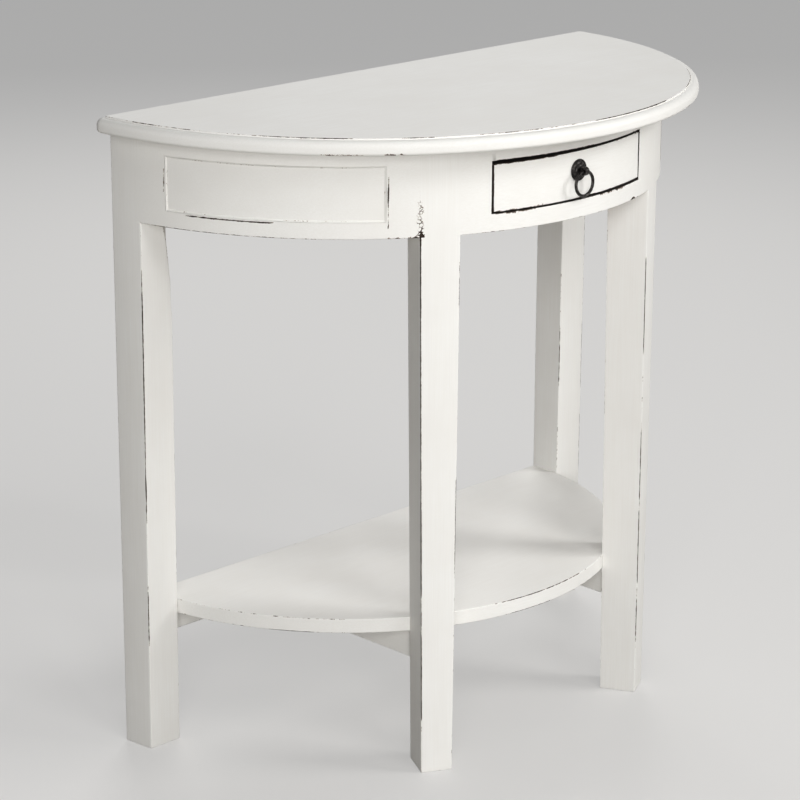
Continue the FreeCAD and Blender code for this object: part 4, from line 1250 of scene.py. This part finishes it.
class TABLE_OT_drawer(bpy.types.Operator):
    """Drawer: a bowed painted front, and bare sides and back"""

    bl_idname = "demilune.drawer"
    bl_label = "Drawer"

    def execute(self, context):
        size = sizes()
        low, high = corners("drawer_front")
        radius = arc_radius()
        inside = radius - size.drawer_board
        reach = math.asin(high.x / inside) + SPARE_TURN
        front = spun("drawer_front_piece", inside, radius, low.z, high.z, -reach, reach)
        trim(RIGHT * (high.x - size.end_gap), RIGHT)
        trim(RIGHT * low.x, -RIGHT)
        for share in CHIP_ROWS:
            divide(UP * (low.z + CHIP_REACH * share), UP)
        take_all()
        bpy.ops.transform.rotate(
            value=size.drawer_tilt, orient_axis="Y", center_override=(low.x, 0, (low.z + high.z) / 2)
        )
        close_up()
        lines = soften(front, "drawer_front", size.fine_arris)
        end = math.asin(high.x / radius)
        sound = low.z + (high.z - low.z) * RIGHT_END_SOUND
        marks = arc_marks(low.z, *DRAWER_FOOT_MARKS) + arc_marks(high.z, DRAWER_HEAD_MARK)
        # The front's ends are darkened as rubbed wood and partly as painted shade of the gap beside them.
        marks.append(line_mark(on_arc(-end, low.z), on_arc(-end, high.z), LEFT_END_WEAR_AND_SHADE))
        marks.append(line_mark(on_arc(end, sound), on_arc(end, high.z), RIGHT_END_WEAR_AND_SHADE))
        scars = [(arc_marks(low.z, *DRAWER_FOOT_CHIPS), CHIP_REACH)]
        paint(front, "drawer_front", "round", lines, marks, scars, body="drawer")
        # The front's edges that look into the gap get a near-black painted shade.
        stain_faces(front, lambda f: max(abs(f.normal.z), abs(f.normal.x)) > GAP_FACING)
        boards = {"drawer_left_side": "deep", "drawer_right_side": "deep", "drawer_back": "across"}
        for node, grain in boards.items():
            piece = merged_copy(node)
            foot = corners(node)[0].z
            edit(piece)
            need("VERT", lambda v: v.co.z < foot + SMALL)
            bpy.ops.transform.translate(value=UP * SLIDE_GAP)
            soften(piece, node, size.fine_arris)
            hand_over(piece, node, planed_wood(grain), "drawer")
        return {"FINISHED"}


class TABLE_OT_pull(bpy.types.Operator):
    """Ring pull: a turned backplate, a post with an eye, and a forged ring"""

    bl_idname = "demilune.pull"
    bl_label = "Ring pull"

    def execute(self, context):
        iron = blackened_iron()
        hand_over(self.backplate(), "pull_backplate", iron, "drawer")
        hand_over(self.post(), "pull_post", iron, "drawer")
        hand_over(self.ring(), "pull_ring", iron, "pull_ring")
        return {"FINISHED"}

    def backplate(self):
        """A disc with turned ridges that rise to a boss in the middle."""
        low, high = corners("pull_backplate")
        radius, rise = (high.x - low.x) / 2, high.y - low.y
        middle = (low + high) / 2
        rim = PLATE_RIM_SHARE * rise
        place = (middle.x, high.y - rim / 2, middle.z)
        piece = cylinder("pull_backplate_piece", TURNED_STEPS, radius, rim, place, (QUARTER_TURN, 0, 0))
        edit(piece)
        need("FACE", lambda f: f.normal.y < -FACING)
        for across, up in PLATE_RIDGE_SHARES:
            bpy.ops.mesh.inset(thickness=across * radius, depth=up * rise)
        need("EDGE", lambda e: is_arris(e) and e.calc_length() < radius / 2)
        round_off(RIDGE_SOFT, CHAMFER_SEGMENTS)
        close_up()
        return piece

    def post(self):
        """An eye, rounded like a bead, on a round shank."""
        size = sizes()
        low, high = corners("pull_post")
        radius = (high.z - low.z) / 2
        eye = Vector(((low.x + high.x) / 2, low.y + radius, (low.z + high.z) / 2))
        piece = cylinder("pull_post_piece", TURNED_STEPS, radius, high.x - low.x, eye, (0, QUARTER_TURN, 0))
        edit(piece)
        need("FACE", lambda f: abs(f.normal.x) > FACING)
        bpy.ops.mesh.inset(thickness=size.eye_wall)
        bpy.ops.mesh.bridge_edge_loops()
        need("EDGE", is_arris)
        round_off(size.eye_soft / 2, EYE_SEGMENTS)
        close_up()
        start = eye.y + radius - size.eye_wall * SHANK_SINK_SHARE
        place = (eye.x, (high.y + start) / 2, eye.z)
        steps = TURNED_STEPS // 2
        shank = cylinder("pull_shank", steps, size.shank / 2, high.y - start, place, (QUARTER_TURN, 0, 0))
        modify(piece, "BOOLEAN", operation="UNION", object=shank)
        bpy.data.objects.remove(shank)
        return piece

    def ring(self):
        """Round wire bent to a ring, a little uneven from the hammer."""
        low, high = corners("pull_ring")
        wire = (high.y - low.y) / 2
        settle()
        bpy.ops.mesh.primitive_torus_add(
            major_segments=RING_STEPS,
            minor_segments=WIRE_STEPS,
            major_radius=(high.x - low.x) / 2 - wire,
            minor_radius=wire / WIRE_SHRINK_SHARE,
            location=(low + high) / 2,
            rotation=(QUARTER_TURN, 0, 0),
        )
        piece = fresh("pull_ring_piece")
        edit(piece)
        take_all()
        bpy.ops.transform.vertex_random(offset=HAMMER_DENT, seed=HAMMER_SEED)
        settle()
        modify(piece, "SUBSURF", levels=RING_SMOOTHNESS, render_levels=RING_SMOOTHNESS)
        return piece


class TABLE_OT_inner_pieces(bpy.types.Operator):
    """Finishes of the strips, blocks and fixings inside the table"""

    bl_idname = "demilune.inner_pieces"
    bl_label = "Inner pieces"

    def execute(self, context):
        kinds = ("runner", "guide", "kicker")
        strips = [f"{side}_drawer_{kind}" for side in ("left", "right") for kind in kinds]
        blocks = [f"{side}_top_block" for side in ("left", "right", "back_left", "back_right")]
        finishes = {
            planed_wood("deep"): (*strips, "drawer_stops", "drawer_bottom", "leg_dowels"),
            planed_wood("across"): blocks,
            drawn_steel(): ("top_screws", "shelf_screws", "drawer_pins", "pull_washer", "pull_nut"),
        }
        for material, nodes in finishes.items():
            for node in nodes:
                mesh = frame["nodes"][node].data
                mesh.materials.clear()
                mesh.materials.append(material)
        return {"FINISHED"}


class TABLE_OT_stage(bpy.types.Operator):
    """Pale floor, soft light and the photograph's camera"""

    bl_idname = "demilune.stage"
    bl_label = "Stage"

    def execute(self, context):
        scene = context.scene
        stage = scene.table_stage
        settle()
        bpy.ops.mesh.primitive_plane_add(size=FLOOR_WIDTH)
        floor = fresh("floor")
        floor.data.materials.append(sealed_floor())

        world = bpy.data.worlds.new("plain surroundings")
        world.use_nodes = True
        tree = world.node_tree
        tree.nodes.clear()
        seen = add_node(tree, "LightPath", give="Is Camera Ray")
        strength = add_node(tree, "MapRange", {0: seen, 3: stage.sky, 4: stage.backdrop})
        light = add_node(tree, "Background", {"Color": (1, 1, 1, 1), "Strength": strength})
        add_node(tree, "OutputWorld", {"Surface": light}, None)
        scene.world = world

        middle = UP * TOP_HIGH.z / 2
        for name, (place, width) in LAMPS.items():
            lamp = bpy.data.lights.new(name, "AREA")
            lamp.shape = "SQUARE"
            lamp.size = width
            lamp.energy = getattr(stage, name + "_power")
            stand = bpy.data.objects.new(name, lamp)
            stand.location = place
            stand.rotation_euler = (middle - Vector(place)).to_track_quat("-Z", "Y").to_euler()
            scene.collection.objects.link(stand)

        camera = bpy.data.objects.new("camera", bpy.data.cameras.new("camera"))
        camera.data.sensor_width = SENSOR
        camera.data.lens = stage.lens
        camera.data.clip_end = SIGHT
        look = Matrix.Rotation(-stage.heading, 4, "Z") @ Matrix.Rotation(QUARTER_TURN - stage.dip, 4, "X")
        camera.matrix_world = Matrix.Translation(stage.eye) @ look @ Matrix.Rotation(stage.tilt, 4, "Z")
        scene.collection.objects.link(camera)
        scene.camera = camera
        scene.view_settings.view_transform = "Standard"
        return {"FINISHED"}


STEPS = (
    TABLE_OT_top,
    TABLE_OT_legs,
    TABLE_OT_side_aprons,
    TABLE_OT_front_bay,
    TABLE_OT_shelf,
    TABLE_OT_back_frame,
    TABLE_OT_drawer,
    TABLE_OT_pull,
    TABLE_OT_inner_pieces,
    TABLE_OT_stage,
)


class VIEW3D_PT_demilune_table(bpy.types.Panel):
    """Lists the steps that make the table"""

    bl_label = "Demilune table"
    bl_space_type = "VIEW_3D"
    bl_region_type = "UI"
    bl_category = "Demilune table"

    def draw(self, context):
        for step in STEPS:
            self.layout.operator(step.bl_idname)
        for name, group in SETTINGS.items():
            holder = getattr(context.scene, name)
            for key in group.__annotations__:
                self.layout.prop(holder, key)


CLASSES = (*SETTINGS.values(), *STEPS, VIEW3D_PT_demilune_table)


def register():
    for item in CLASSES:
        bpy.utils.register_class(item)
    for name, group in SETTINGS.items():
        setattr(bpy.types.Scene, name, PointerProperty(type=group))


def unregister():
    for name in SETTINGS:
        delattr(bpy.types.Scene, name)
    for item in reversed(CLASSES):
        bpy.utils.unregister_class(item)


def main():
    register()
    for step in STEPS:
        family, action = step.bl_idname.split(".")
        getattr(getattr(bpy.ops, family), action)()


if __name__ == "__main__":
    main()
